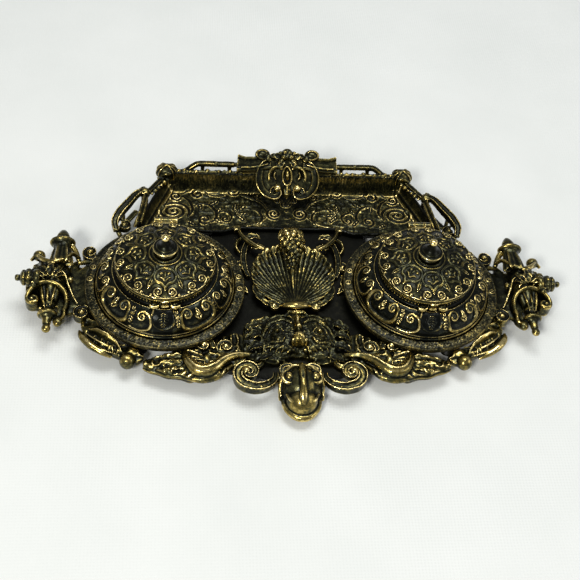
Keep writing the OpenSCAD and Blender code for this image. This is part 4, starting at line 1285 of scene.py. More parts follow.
# ---------- front scrolls, dolphins and turned leaves ----------
def front_scroll_parts():
    """Spiral strap that springs from beside the creature head."""
    run = smooth([(14.6, -68.6), (15.4, -73.6), (20.0, -77.9), (26.5, -79.6), (32.6, -78.2)])
    plan = curl(run, 8.2, 1.25, 1, 1.4, 0.5)
    path = lift(plan, (10.5, 11.0, 11.6, 12.2, 13.0, 13.6))
    parts = [sweep(path, (1.5, 2.6, 3.0, 2.8, 2.2, 1.2), (2.0, 2.6, 3.0, 3.0, 2.6, 1.8),
                   section_strap(0.25, 0.5))]
    parts.append(ball(*path[-1][:2] + [0.2, 0.6], 14.0, 2.5, rz=2.4))
    for k in range(7):
        a = math.radians(-150 + 34 * k)
        c = np.array([27.5, -70.2])
        p, q = c + 9.6 * np.array([math.cos(a), math.sin(a)]), c + 11.3 * np.array([math.cos(a + 0.2),
                math.sin(a + 0.2)])
        parts.append(sweep([(*p, 12.2), (*(p + q) / 2, 11.6), (*q, 9.6)], (0.9, 1.3, 0.5), (1.0, 1.0, 0.5)))
    tie = smooth([(24.0, -56.5, 10.2), (22.6, -61.0, 11.0), (25.6, -64.2, 11.6), (31.0, -63.4, 11.4)])
    parts.append(sweep(tie, (1.6, 2.2, 2.0, 0.9), (1.4, 1.8, 1.6, 0.8), RIDGE))
    return parts


def dolphin_parts():
    """Fish-like body under a well, with its fin and trailing leaves."""
    body = smooth([(25.8, -54.6, 10.6), (31.0, -56.4, 12.2), (38.0, -57.8, 13.6), (45.0, -61.6, 14.4),
                   (50.6, -66.8, 14.6), (56.0, -69.4, 14.6), (61.8, -68.0, 14.8), (66.0, -62.6, 14.8),
                   (67.4, -56.6, 13.4), (64.6, -51.6, 12.0)])
    parts = [sweep(body, (0.8, 1.8, 2.4, 3.0, 3.6, 4.3, 4.2, 3.2, 2.2, 1.0),
                   (0.8, 1.6, 2.2, 2.8, 3.2, 3.6, 3.4, 2.6, 1.8, 0.9))]
    parts.append(sweep(body + np.array([0, 0, 1]) * np.interp(np.linspace(0, 1, len(body)),
            np.linspace(0, 1, 5), [0.8, 2.4, 3.4, 3.0, 0.8])[:, None], (0.3, 0.7, 0.8, 0.7, 0.3),
            (0.4, 0.7, 0.9, 0.7, 0.3)))
    belly = smooth([(38.6, -61.0, 10.2), (43.6, -66.6, 11.0), (50.0, -71.6, 11.2), (57.0, -73.4, 11.2),
                    (64.5, -72.6, 10.8), (72.0, -70.4, 10.4)])
    parts.append(sweep(belly, (0.8, 1.8, 2.6, 2.6, 1.8, 0.8), (0.8, 1.7, 2.4, 2.4, 1.7, 0.8)))
    for k in range(6):
        t = k / 5
        x, y = 45.6 + 15.5 * t, -65.6 - 5.4 * math.sin(math.pi * (0.25 + 0.45 * t))
        parts.append(sweep([(x - 1.6, y + 2.6, 13.2), (x - 0.4, y, 13.6), (x + 1.6, y - 2.6, 12.0)],
                           (0.5, 0.9, 0.4), (0.5, 0.9, 0.4)))
    # broad fin that fans out along the base, with a gilt lower edge
    fin = closed_outline([(60.0, -52.0), (68.0, -53.6), (78.0, -56.0), (86.0, -58.2), (91.0, -61.0),
                          (92.0, -64.6), (88.0, -67.0), (84.0, -68.0), (78.0, -70.8), (71.0, -71.4),
                          (64.0, -73.6), (58.0, -69.0), (57.0, -60.0)], 420)

    def fan(x, y, rho):
        a = np.arctan2(y + 60.0, x - 48.0)
        ray = np.abs(np.sin(a * 17.0))
        return (DECK + 3.6 - 0.045 * (x - 66.0) + 1.5 * ray * np.clip((x - 56.0) / 10, 0, 1) - 1.2 * rho**9
                + 1.1 * veins(x, y, 3.6, 24.0, 2.8) + 0.3 * plane_noise(x, y, 1.6, 5.0))

    parts.append(disc((74.0, -63.0), fin, 46, fan, DECK - 2.0))
    hem = smooth([(64.0, -73.0, 10.6), (71.0, -71.4, 10.6), (78.0, -70.6, 10.4), (84.0, -68.2, 10.2),
                  (88.4, -67.0, 9.8), (92.4, -64.6, 9.4)])
    parts.append(sweep(hem, (1.0, 1.2, 1.2, 1.1, 1.0, 0.7), (1.0, 1.2, 1.1, 1.1, 1.0, 0.7)))
    for pts, half in (([(66.0, -60.0, 13.2), (73.0, -59.6, 14.0), (80.0, -59.8, 13.2),
                        (88.0, -61.0, 11.6)], (1.4, 3.2, 3.0, 0.8)), ([(66.0, -66.0, 13.2),
                        (73.0, -65.8, 13.8), (80.0, -65.0, 12.8), (89.0, -64.6, 11.2)],
                        (1.4, 3.2, 3.0, 0.8))):
        parts.append(leaf3d(pts, half, 0.22, 4, 1.8, depth=0.3))
    # boss with its curl, and rinceaux on the web behind
    parts += volute(56.6, -50.8, 12.6, 5.6, 1.3, 200, -1, 1.5, 2.2, rise=1.6)
    parts += volute(43.6, -50.6, 11.4, 4.6, 1.25, 330, 1, 1.3, 1.8, rise=1.2)
    parts.append(strand([(38.6, -46.4, 10.4), (36.0, -50.6, 11.0), (38.6, -55.6, 11.6)], (1.0, 1.9, 1.0),
                        (1.0, 1.7, 1.0), RIDGE))
    parts.append(strand([(47.6, -46.6, 10.2), (52.0, -45.6, 10.8), (57.0, -45.0, 10.8),
                         (62.6, -47.6, 10.6)], (0.8, 1.6, 1.6, 0.6), (0.8, 1.4, 1.4, 0.6), RIDGE))
    parts.append(leaf3d([(66.6, -52.0, 11.2), (72.6, -55.6, 11.6), (80.0, -58.2, 11.0),
                         (88.0, -59.8, 10.2)], (1.6, 3.2, 3.0, 0.8), 0.2, 4, 1.8))
    # plate that carries it all on the base
    outline = [(34.0, -40.0), (44.0, -42.0), (52.0, -46.0), (61.0, -51.6), (72.0, -55.6), (82.0, -57.0),
               (92.0, -59.6), (90.0, -65.0), (80.0, -69.0), (70.0, -71.0), (60.0, -72.6), (50.0, -70.6),
               (43.0, -66.0), (36.0, -62.0), (31.0, -57.0), (30.0, -48.0)]
    loop = closed_outline(outline, 200)
    parts.append(disc((56.0, -60.0), loop, 40, lambda x, y,
                      rho: DECK + 2.4 - 0.8 * rho**6 + 1.4 * veins(x, y, 4.2, 19.0, 2.6), DECK - 2.4))
    return parts


def leaf_scroll_parts():
    """Turned leaf that runs from a dolphin out to the side."""
    axis = smooth([(105.0, -55.6, 10.4), (110.0, -52.4, 11.4), (117.0, -48.6, 12.2), (123.6, -43.8, 12.2),
                   (127.6, -39.0, 11.0)])
    parts = [sweep(axis, (1.2, 5.0, 6.2, 5.6, 1.8), (1.4, 3.4, 4.4, 4.0, 1.6), section_cup() * [-1, 1])]
    rib = axis + [0, 0, 0.4]
    parts.append(sweep(rib, (0.3, 0.8, 0.9, 0.7, 0.3), (0.3, 0.7, 0.8, 0.7, 0.3)))
    lip = smooth([(110.6, -57.6, 10.6), (116.6, -55.4, 12.6), (123.6, -50.8, 13.8), (128.6, -44.6, 13.4),
                  (130.4, -38.8, 11.4)])
    parts.append(sweep(lip, (0.8, 1.9, 2.4, 2.2, 0.9), (0.8, 1.7, 2.2, 2.0, 0.8)))
    parts.append(ball(101.4, -59.6, 9.6, 4.9, n=36))
    ground = closed_outline([(92.0, -55.0), (104.0, -49.0), (114.0, -40.6), (121.0, -31.0), (124.6, -23.0),
                             (129.6, -29.0), (129.0, -38.0), (124.0, -46.0), (115.0, -52.6),
                             (105.0, -58.0), (96.0, -61.0)], 240)
    parts.append(disc((112.0, -46.6), ground, 24, lambda x, y,
                      rho: DECK + 2.6 - 1.0 * rho**6 + 1.5 * veins(x, y, 3.8, 12.0, 2.6), DECK - 2.0))
    parts.append(strand([(103.6, -57.0, 9.8), (104.8, -54.6, 10.4), (107.6, -53.4, 10.8)], (2.0, 1.6, 2.4),
                        (2.0, 1.5, 2.2)))
    parts.append(strand([(98.0, -56.6, 9.2), (102.0, -54.4, 9.6), (108.0, -50.8, 10.0)], (1.2, 2.0, 2.2),
                        (1.4, 1.8, 2.0), RIDGE))
    parts.append(leaf3d([(112.0, -50.0, 9.6), (116.0, -45.6, 10.2), (121.0, -41.8, 10.2),
                         (126.0, -38.6, 9.6)], (1.6, 3.2, 3.0, 0.9), 0.2, 3, 1.8))
    return parts


def pair(name, parts, slot, seed, **look):
    """Casts a right-hand ornament and its mirror image."""
    right = joined(parts)
    cast(name + "_right", [right], slot, seed=seed + 1, **look)
    cast(name + "_left", [right.scaled(-1, 1, 1)], slot, seed=seed - 1, **look)


build_mask()
build_head()
pair("front_scroll", front_scroll_parts(), "gilt_bronze", voxel=0.32, wear=(0.0, 0.95, 0.25, 0.8), seed=11)
pair("dolphin", dolphin_parts(), "gilt_bronze", voxel=0.36, wear=(0.0, 0.95, 0.3, 0.9), seed=21)
pair("leaf_scroll", leaf_scroll_parts(), "gilt_bronze", voxel=0.34, wear=(0.0, 0.95, 0.25, 0.8), seed=31)


# ---------- scallop dish, berries and struts ----------
SHELL_Y = 3.0
UMBO = (0.0, -20.5)
RIBS = 78


def shell_wave(x, y):
    """Rounded ribs with narrow grooves, fanning out from the umbo; 0 in a groove and 1 on a crest."""
    phi = np.arctan2(x - UMBO[0], y - UMBO[1])
    far = np.clip((np.hypot(x - UMBO[0], y - UMBO[1]) - 15) / 7, 0, 1)
    wide = np.abs(np.cos((phi - math.pi / RIBS) * RIBS / 4))
    return (far * np.abs(np.cos(phi * RIBS / 2)) + (1 - far) * wide) ** 0.6


def shell_of(centre, outline, rings, top, thick):
    """Thin closed bowl over a plan outline."""
    outline = clockwise(outline)
    around = len(outline)
    rho = np.linspace(0, 1, rings + 1)[1:, None]
    x = centre[0] + (outline[None, :, 0] - centre[0]) * rho
    y = centre[1] + (outline[None, :, 1] - centre[1]) * rho
    r = np.repeat(rho, around, axis=1)
    z = top(x.ravel(), y.ravel(), r.ravel()).reshape(x.shape)
    low = top(x.ravel(), y.ravel(), -r.ravel()).reshape(x.shape) - thick * (1 - 0.45 * r**6)
    n = rings * around
    c_hi = [centre[0], centre[1], z[0].mean()]
    c_lo = [centre[0], centre[1], low[0].mean()]
    v = np.vstack([np.stack([x, y, z], axis=-1).reshape(-1, 3),
                   np.stack([x, y, low], axis=-1).reshape(-1, 3), [c_hi, c_lo]])
    q = grid_faces(rings, around, wrap_cols=True)[:, ::-1]
    k = np.arange(around)
    k2 = (k + 1) % around
    o = (rings - 1) * around
    wall = np.stack([o + k, n + o + k, n + o + k2, o + k2], axis=1)
    extra = [[2 * n, int(i), int(j)] for i, j in zip(k, k2)] + [[2 * n + 1, int(n + j), int(n + i)] for i,
            j in zip(k, k2)]
    return Solid(v, np.vstack([q, q[:, ::-1] + n, wall]), extra)


def shell_top(x, y, rho):
    """Height of the dish, rising from its middle to a scalloped rim."""
    a = np.abs(rho)
    d = np.hypot(x - UMBO[0], y - UMBO[1])
    back = np.clip((y + 12) / 30, 0, 1)
    bowl = DECK + 2.3 + (4.3 + 1.4 * back) * a**2.3
    rib = (0.85 * shell_wave(x, y) - 0.5) * np.clip((d - 1) / 9, 0, 1)
    skin = 0.12 * plane_noise(x, y, 1.4, 12.0) + 0.18 * plane_noise(x, y, 4.0, 5.0)
    return bowl + np.where(rho < 0, 0.25, 1.0) * (rib + skin)


def build_shell():
    """Shell-shaped dish in the middle, on a low round foot."""
    base = closed_outline(both([(0, -21.6), (6.0, -21.0), (12.0, -18.4), (20.0, -12.0), (25.2, -3.0),
                                (26.0, 5.0), (23.8, 14.0), (18.2, 21.4), (9.6, 26.6), (0, 28.0)]), 560)
    d = base - [0, SHELL_Y]
    lobes = 0.9 * (shell_wave(base[:, 0], base[:, 1]) - 0.6) * np.clip((base[:, 1] + 16) / 10, 0, 1)
    base = base + d / np.linalg.norm(d, axis=1, keepdims=True) * lobes[:, None]
    parts = [shell_of((0, SHELL_Y), base, 84, shell_top, 1.5)]
    parts.append(lathe(rounded([(0, DECK), (7.5, DECK), (6.4, DECK + 1.0), (5.6, DECK + 2.0),
                                (0, DECK + 2.0)], 0.3, 0.6), 48) .moved(0, SHELL_Y, 0))
    # curled leaf tips along the back of the rim
    for s in (-1, 1):
        for k, a in enumerate((8, 30, 50, 69)):
            t = math.radians(a)
            c = np.array([s * 24.4 * math.cos(t), SHELL_Y + 23.6 * math.sin(t)])
            o = np.array([s * math.cos(t), math.sin(t)])
            e = np.array([-s * math.sin(t), math.cos(t)])
            pts = [(*(c - 2.4 * o - 2.0 * e), 15.2), (*(c + 0.6 * o - 0.6 * e), 16.4),
                   (*(c + 1.0 * o + 1.6 * e), 16.9), (*(c - 0.8 * o + 2.8 * e), 16.2)]
            parts.append(strand(pts, (0.7, 1.6, 1.5, 0.6), (0.6, 1.2, 1.2, 0.6), RIDGE))
    # gilt collar on the umbo
    arc = smooth([(-9.0, -20.6, 14.4), (-5.8, -21.8, 16.4), (0, -22.4, 17.4), (5.8, -21.8, 16.4),
                  (9.0, -20.6, 14.4)])
    parts.append(sweep(arc, (1.0, 2.2, 2.8, 2.2, 1.0), (1.0, 1.8, 2.2, 1.8, 1.0)))
    for k in range(-4, 5):
        parts.append(sweep([(1.1 * k, -20.4, 13.4), (1.9 * k, -15.0, 12.6), (2.7 * k, -9.0, 12.2)],
                           (0.9, 0.6, 0.3), (1.2, 0.7, 0.3)))
    for s in (-1, 1):
        parts += volute(s * 13.2, -20.6, 13.6, 3.8, 1.2, 90 - s * 60, s, 1.1, 1.5, rise=0.8)
        parts.append(leaf3d([(s * 15.6, -19.4, 13.4), (s * 20.0, -15.6, 14.4), (s * 23.6, -10.4, 15.0),
                             (s * 25.6, -4.6, 15.2)], (1.2, 2.4, 2.4, 0.7), 0.2, 3, 1.6))
    cast("shell_dish", parts, "web_bronze", voxel=0.3, ease=1, wear=(0.06, 0.6, 0.3), seed=6,
         extra=lambda x, y, z: 0.6 * (y < -20) + 0.25 * ((y > 2) & (z > 15)))


def build_berries():
    """Cluster of berries that tapers forward over the shell, with its calyx and foot."""
    axis = smooth([(0, 35.0, 20.5), (0, 29.0, 22.2), (0, 22.0, 21.6), (0, 15.0, 18.6), (0, 9.0, 15.6),
                   (0, 3.6, 13.4)], 0.4)
    t = np.linspace(0, 1, len(axis))
    radius = np.interp(t, [0, 0.12, 0.3, 0.5, 0.7, 0.85, 1], [3.2, 6.0, 7.0, 5.4, 3.0, 1.7, 0.8])
    parts = [sweep(axis, radius * 0.86, radius * 0.8)]
    s = 0.0
    row = 0
    pick = np.random.default_rng(7)
    length = np.r_[0, np.cumsum(np.linalg.norm(np.diff(axis, axis=0), axis=1))]
    while s < length[-1] * 0.86:
        k = int(np.searchsorted(length, s))
        r = radius[min(k, len(axis) - 1)]
        size = max(0.55, 0.30 * r ** 0.75 + 0.55)
        count = max(5, int(2 * math.pi * r / (size * 1.75)))
        for j in range(count):
            a = 2 * math.pi * (j + 0.5 * (row % 2)) / count
            if math.sin(a) > -0.45:
                fat, slip = size * pick.uniform(0.7, 1.3), pick.uniform(-0.6, 0.6, 2) * size
                parts.append(ball(axis[k][0] + r * 0.92 * math.cos(a) + slip[0], axis[k][1] + slip[1],
                                  axis[k][2] + r * 0.86 * math.sin(a), fat, n=12))
        s += size * 1.5
        row += 1
    for j in range(7):
        a = math.radians(-10 + 200 * j / 6)
        c, d = math.cos(a), math.sin(a)
        parts.append(strand([(1.2 * c, 36.4, 19.4 + 1.2 * d), (5.0 * c, 35.0, 20.6 + 4.2 * d),
                             (7.4 * c, 31.0, 21.6 + 6.0 * d), (8.2 * c, 28.6, 21.6 + 6.6 * d)],
                             (0.8, 1.9, 1.6, 0.3), (0.8, 1.0, 0.8, 0.3), RIDGE))
    parts.append(sweep([(0, 41.0, 11.0), (0, 38.0, 15.5), (0, 34.5, 19.5)], (4.2, 3.4, 3.0), (2.4, 2.4, 2.4)))
    parts.append(strand([(0, 4.6, 13.6), (0, -2.0, 12.6), (0, -8.6, 12.4)], (0.9, 0.7, 0.3), (0.9, 0.7, 0.3)))
    parts.append(sweep([(-4.6, 36.5, 11.8), (4.6, 36.5, 11.8)], 4.0, 2.6, BOX))
    cast("berry_finial", parts, "gilt_bronze", voxel=0.28, ease=1, rough=0.14, wear=(0.05, 0.7, 0.5), seed=8,
         extra=lambda x, y, z: 0.45 * np.clip((y - 14) / 10, 0, 1))


def strut_parts():
    """Gilt strut with dark leaves that ties the tray to the shell."""
    parts = [strand([(32.6, 44.8, 12.0), (30.6, 38.4, 13.6), (27.0, 32.4, 15.2), (22.4, 27.4, 16.2),
                     (16.8, 24.0, 16.4)], (1.3, 1.5, 1.7, 1.6, 1.0), (1.4, 1.4, 1.5, 1.3, 0.8), RIDGE)]
    parts.append(ball(15.4, 23.2, 16.4, 1.9, n=18))
    parts.append(leaf3d([(24.6, 29.6, 12.6), (22.4, 27.8, 14.8), (20.0, 26.8, 15.6), (16.4, 27.6, 15.0)],
                        (1.4, 3.0, 2.8, 0.6), 0.3, 3, 1.7))
    parts.append(leaf3d([(29.4, 35.4, 12.4), (26.0, 36.4, 14.2), (22.4, 37.0, 14.6), (18.6, 35.6, 13.6)],
                        (1.4, 2.8, 2.4, 0.5), 0.3, 3, 1.7))
    parts.append(strand([(30.2, 37.6, 12.2), (33.8, 33.6, 12.8), (34.8, 28.6, 12.4), (32.4, 24.6, 11.8)],
                        (1.0, 1.4, 1.2, 0.6), (1.4, 1.5, 1.3, 0.7), RIDGE))
    parts.append(strand([(27.6, 33.0, 11.6), (29.8, 26.0, 11.6), (30.6, 18.0, 11.4), (29.4, 9.0, 11.2),
                         (27.6, 5.0, 11.0)], (1.6, 1.8, 1.8, 1.7, 1.2), (2.0, 2.0, 2.0, 1.9, 1.6), STRAP))
    parts += volute(33.0, 13.0, 11.4, 3.4, 1.2, 150, -1, 1.1, 1.5, rise=0.8)
    parts += volute(34.8, -4.0, 11.2, 3.2, 1.2, 150, 1, 1.0, 1.4, rise=0.8)
    parts.append(leaf3d([(33.6, 8.0, 11.0), (33.0, 2.0, 11.6), (31.4, -3.6, 11.6), (28.0, -8.0, 11.0)],
                        (1.2, 2.6, 2.2, 0.5), 0.2, 3, 1.6))
    parts.append(sweep([(34.0, 47.5, 11.2), (33.2, 44.0, 11.4)], 2.4, 1.8, BOX))
    return parts


build_shell()
build_berries()
pair("leaf_strut", strut_parts(), "gilt_bronze", voxel=0.3, wear=(0.05, 1.0, 0.3, 0.35), seed=41)


# ---------- pen tray ----------
TRAY_Y0, TRAY_Y1 = box_mm("pen_tray")[0][1] + 5.0, box_mm("pen_tray")[1][1]
TRAY_FRONT = box_mm("pen_tray")[1][0]
TRAY_TOP = box_mm("pen_tray")[1][2]
TRAY_BACK = TRAY_FRONT - 19.0
TRAY_FLOOR = DECK + 1.8


def tray_front_edge(x):
    """Front edge of the tray, which gives way to the two pans."""
    x = np.abs(x)
    plain = TRAY_Y0 - 4.1 * np.clip((x - 32) / 12, 0, 1)
    reach = PAN_R + 0.3
    pan = np.sqrt(np.clip(reach**2 - (x - WELL_X) ** 2, 0, None)) + WELL_Y
    return np.maximum(plain, pan)


def spiral_path(x, y, radius, turns, start, hand, squash=1.0, end=0.5):
    """Flat spiral that winds in from a given angle."""
    t = np.linspace(0, 1, int(40 * turns))
    r = radius + (end - radius) * t
    a = math.radians(start) + hand * 2 * math.pi * turns * t
    return np.column_stack([x + r * np.cos(a), y + squash * r * np.sin(a)])


def tray_relief(x, y):
    """Low rinceaux of the floor, mirrored about the middle."""
    rel = Relief(np.abs(x), y)
    rel.ridge(spiral_path(75.2, 61.0, 10.8, 2.6, 205, -1, 0.80), 0.75, 0.85)
    rel.bead(75.2, 61.0, 1.2, 1.0, 1.0)
    rel.ridge(smooth([(65.4, 56.4), (62.6, 63.0), (64.4, 70.4), (68.6, 74.8)]), 0.75, 0.8, ends=(0.5, 0.6))
    rel.ridge(spiral_path(73.6, 75.0, 3.9, 1.6, 215, 1), 0.65, 0.9)
    rel.bead(73.6, 75.0, 1.0, 1.0, 1.1)
    rel.ridge(smooth([(69.2, 77.4), (63.6, 81.0), (58.6, 80.0), (56.4, 75.4)]), 0.7, 0.85, ends=(0.5, 0.4))
    rel.ridge(spiral_path(59.2, 77.2, 4.0, 1.3, 90, -1), 0.8, 1.1)
    rel.bead(59.0, 77.0, 2.1, 1.9, 1.3)
    rel.ridge(curl(smooth([(56.0, 81.2), (52.2, 80.0), (49.8, 80.6)]), 2.3, 1.2, -1, 0.5, 0.3), 0.6, 1.0)
    rel.bead(35.0, 80.4, 1.9, 1.7, 1.3)
    rel.ridge(spiral_path(35.0, 80.4, 3.8, 0.98, 0, 1, end=3.6), 0.55, 0.8)
    rel.ridge(smooth([(39.4, 78.2), (44.0, 76.0), (50.4, 76.8), (54.6, 79.6)]), 0.6, 0.7, ends=(0.3, 0.6))
    rel.ridge(smooth([(62.0, 66.0), (57.0, 68.6), (51.0, 66.8), (47.0, 60.6), (48.0, 54.0), (54.0, 50.6)]),
              0.75, 0.85, ends=(0.5, 0.5))
    rel.ridge(spiral_path(54.6, 54.6, 4.2, 1.3, 270, 1), 0.65, 0.85)
    rel.bead(54.6, 54.6, 1.2, 1.2, 1.0)
    rel.ridge(smooth([(47.0, 60.6), (41.6, 62.0), (37.0, 58.6), (37.6, 53.4)]), 0.65, 0.8, ends=(0.5, 0.3))
    rel.ridge(spiral_path(40.8, 55.0, 3.2, 1.2, 180, 1), 0.6, 0.8)
    for root, tip, w in (((51.5, 66.5), (45.0, 72.0), 2.2), ((47.5, 59.0), (42.6, 66.4), 2.0),
                         ((58.0, 69.0), (57.0, 62.0), 1.9), ((48.5, 56.0), (43.0, 50.0), 1.8),
                         ((33.4, 61.0), (26.6, 68.6), 2.3), ((33.4, 59.6), (25.0, 60.0), 2.2),
                         ((33.4, 58.6), (27.6, 52.6), 2.1), ((34.6, 62.0), (34.0, 70.0), 2.1),
                         ((66.0, 52.6), (60.0, 48.6), 1.9), ((86.6, 56.6), (90.0, 50.6), 1.8),
                         ((86.4, 66.0), (88.6, 71.0), 1.6)):
        rel.leaf(root, tip, w, 1.0, lobes=2)
    rel.ridge(smooth([(20.0, 50.0), (16.6, 55.6), (18.6, 62.0), (24.0, 64.6)]), 0.6, 0.75, ends=(0.4, 0.4))
    rel.ridge(spiral_path(8.6, 60.6, 5.3, 1.9, 250, 1), 0.62, 0.75)
    rel.bead(8.6, 60.6, 0.9, 0.9, 0.9)
    rel.bead(0, 63.3, 0.9, 1.0, 1.1)
    rel.bead(0, 56.8, 1.5, 0.9, 1.0)
    rel.bead(0, 52.6, 0.8, 0.8, 0.9)
    rel.leaf((0, 66.4), (0, 72.4), 1.5, 1.2, lobes=1)
    rel.leaf((0.6, 66.6), (3.6, 70.6), 1.2, 1.1, lobes=1)
    rel.ridge(spiral_path(5.2, 72.4, 2.2, 1.2, 200, -1), 0.5, 0.9)
    rel.ridge(smooth([(13.6, 57.6), (19.6, 52.4), (28.0, 49.4), (36.0, 48.6)]), 0.5, 0.6, ends=(0.4, 0.3))
    rel.ridge(smooth([(12.6, 64.6), (16.6, 70.6), (23.0, 74.4), (30.6, 77.4)]), 0.55, 0.7, ends=(0.4, 0.4))
    rel.ridge(spiral_path(19.2, 76.0, 2.4, 1.2, 300, 1), 0.5, 0.8)
    return rel.h


def build_tray():
    """Pen tray along the back: a dished floor with raised relief."""
    n, m = 520, 150
    s = np.linspace(-1, 1, n)[:, None]
    v = np.linspace(0, 1, m)[None]
    half = TRAY_FRONT - (TRAY_FRONT - TRAY_BACK) * v
    x = s * half
    y0 = tray_front_edge(x)
    y = y0 + (TRAY_Y1 - y0) * v
    half = TRAY_FRONT - (TRAY_FRONT - TRAY_BACK) * (y - 41) / (TRAY_Y1 - 41)
    x = s * half
    d_end = (half - np.abs(x)) * 0.92
    d_back = TRAY_Y1 - y
    d_front = y - y0
    p = np.column_stack([x.ravel(), y.ravel(), 0 * x.ravel()])
    grit = (0.5 * np.abs(noise(p, 1.1, 3.0)) + 0.45 * noise(p, 2.4, 7.0)).reshape(x.shape)
    fine = (0.08 * noise(p, 1.1, 21.0) + 0.16 * noise(p, 3.2, 9.0)).reshape(x.shape)
    worm = noise(p, 3.4, 31.0).reshape(x.shape)
    foliage = 0.34 * np.clip(1 - np.abs(worm) * 2.6, 0, 1)
    depth = TRAY_TOP - TRAY_FLOOR
    back = 23.4 - TRAY_FLOOR
    wall_end = depth * np.clip(1 - (d_end - 1.4) / 5.4, 0, 1) ** 1.7
    wall_back = back * np.clip(1 - (d_back - 2.6) / 5.4, 0, 1) ** 1.3
    lip = 1.9 * np.exp(-((d_front - 1.0) / 1.4) ** 2) * (0.6 + 0.4 * np.clip((np.abs(x) - 20) / 20, 0, 1))
    rise = np.maximum(np.maximum(wall_end, wall_back), lip)
    flat = np.clip(1 - rise / 1.6, 0, 1)
    relief = tray_relief(x.ravel(), y.ravel()).reshape(x.shape)
    busy = np.clip((np.abs(x) - 11) / 6, 0, 1) * np.clip((70 - np.abs(x)) / 8, 0.25, 1)
    floor = np.maximum(relief, foliage * busy) + fine
    z = TRAY_FLOOR + rise + flat * floor + (1 - flat) * (0.35 * fine + grit
            * np.clip(wall_back / depth, 0, 1) * 1.5 + grit * np.clip(lip / 1.9, 0, 1) * 0.7)
    line = 0.8 * np.exp(-((d_end - 4.6) / 0.55) ** 2) + 0.7 * np.exp(-((d_end - 7.2) / 0.45) ** 2)
    z = z + line * (d_back > 6) * (d_front > 3)
    z = np.where((d_end < 0.4) | (d_back < 0.4), z - 0.5, z)
    z = np.minimum(z, 23.8)
    gap = (np.abs(x) < 17) & (d_back < 9)
    z = np.where(gap, np.minimum(z, DECK + 4.6), z)
    top = np.stack([x, y, z], axis=-1)
    # the walls are made lighter towards their top: rubbed brass, partly painted light on upright walls that
    # catch little of the lamps
    place("pen_tray", slab(top, DECK), STAND, ["pen_tray"], TRAY,
          wear=(0.08, 0.7, 0.45), extra=lambda x, y, z: 0.9 * np.clip((z - 17.5) / 4, 0, 1) - 0.1)


RAIL_Y, RAIL_Z = 91.0, 26.0


def rail_parts():
    """Rail bar behind the tray with its posts, and the tied roll at the corner."""
    parts = [strand([(35.0, RAIL_Y, RAIL_Z), (45, RAIL_Y, RAIL_Z), (58.0, RAIL_Y, RAIL_Z),
                     (62.0, RAIL_Y - 0.8, RAIL_Z - 1.2), (67.0, RAIL_Y - 2.4, RAIL_Z - 4.4),
                     (73.0, RAIL_Y - 3.4, RAIL_Z - 5.8)], (1.7, 1.7, 1.7, 1.8), (1.6, 1.6, 1.6, 1.6), BOX)]
    parts.append(sweep([(32.0, RAIL_Y, RAIL_Z), (36.0, RAIL_Y, RAIL_Z)], 1.6, 1.6))
    for x in (38.0, 56.0):
        parts.append(sweep([(x, RAIL_Y, RAIL_Z - 1), (x, RAIL_Y - 1.0, 19.0), (x, RAIL_Y - 3.6, 14.0)],
                           1.6, 1.3, BOX, up=(1, 0, 0)))
    parts.append(ball(47.0, RAIL_Y, RAIL_Z, 2.2, 2.1, 2.1, n=26))
    # corner roll: a bundle bound by crossing bands
    cx, cy, cz = 79.6, 87.4, 21.2
    parts.append(ball(cx, cy, cz, 6.6, 5.8, 5.9, n=40))
    for k, tilt in enumerate((-38, -8, 24, 52)):
        a = np.linspace(0, 2 * math.pi, 60)
        t = math.radians(tilt)
        ring = np.column_stack([6.9 * np.cos(a) * math.cos(t), 6.1 * np.cos(a) * math.sin(t),
                                6.2 * np.sin(a)]) + [cx, cy, cz]
        parts.append(sweep(ring, 0.55, 0.75))
    parts.append(strand([(cx - 6.0, cy - 1.6, cz - 1.0), (cx - 1.5, cy - 4.4, cz + 3.0),
                         (cx + 3.5, cy - 4.6, cz + 1.4), (cx + 6.4, cy - 2.6, cz - 3.6)],
                         (0.6, 1.1, 1.1, 0.6), (0.7, 1.0, 1.0, 0.7), RIDGE))
    # rough gilt coping between the bar and the corner
    for k in range(24):
        x = 30.0 + 1.9 * k
        parts.append(ball(x, 86.4 + 0.7 * math.sin(2.3 * k), 23.2 + 0.5 * math.cos(3.1 * k),
                          1.3 + 0.4 * math.sin(1.7 * k), n=14))
    parts += volute(61.0, 86.8, 20.4, 2.7, 1.1, 40, 1, 0.8, 1.0, rise=0.5)
    parts.append(sweep([(17.0, 86.0, 23.4), (60.0, 86.0, 23.4), (74.0, 86.0, 21.8)], (1.1, 1.2, 1.4),
                       (1.0, 1.1, 1.3)))
    # straight moulding down the tray's end, from the corner to the next knot
    parts.append(sweep([(81.6, 84.0, 20.4), (86.6, 76.4, 20.6), (91.8, 68.4, 21.0)], 1.5, 1.3, STRAP))
    for k in range(6):
        t = k / 5
        parts.append(ball(79.4 + 9.8 * t, 81.6 - 13.0 * t, 19.6, 1.5 + 0.4 * math.sin(2.1 * k), n=14))
    return parts


def build_rail():
    right = joined(rail_parts())
    cast("tray_rail", [right, right.scaled(-1, 1, 1)], "gilt_bronze", voxel=0.34, ease=2,
         wear=(0.02, 0.7, 0.35), seed=51)


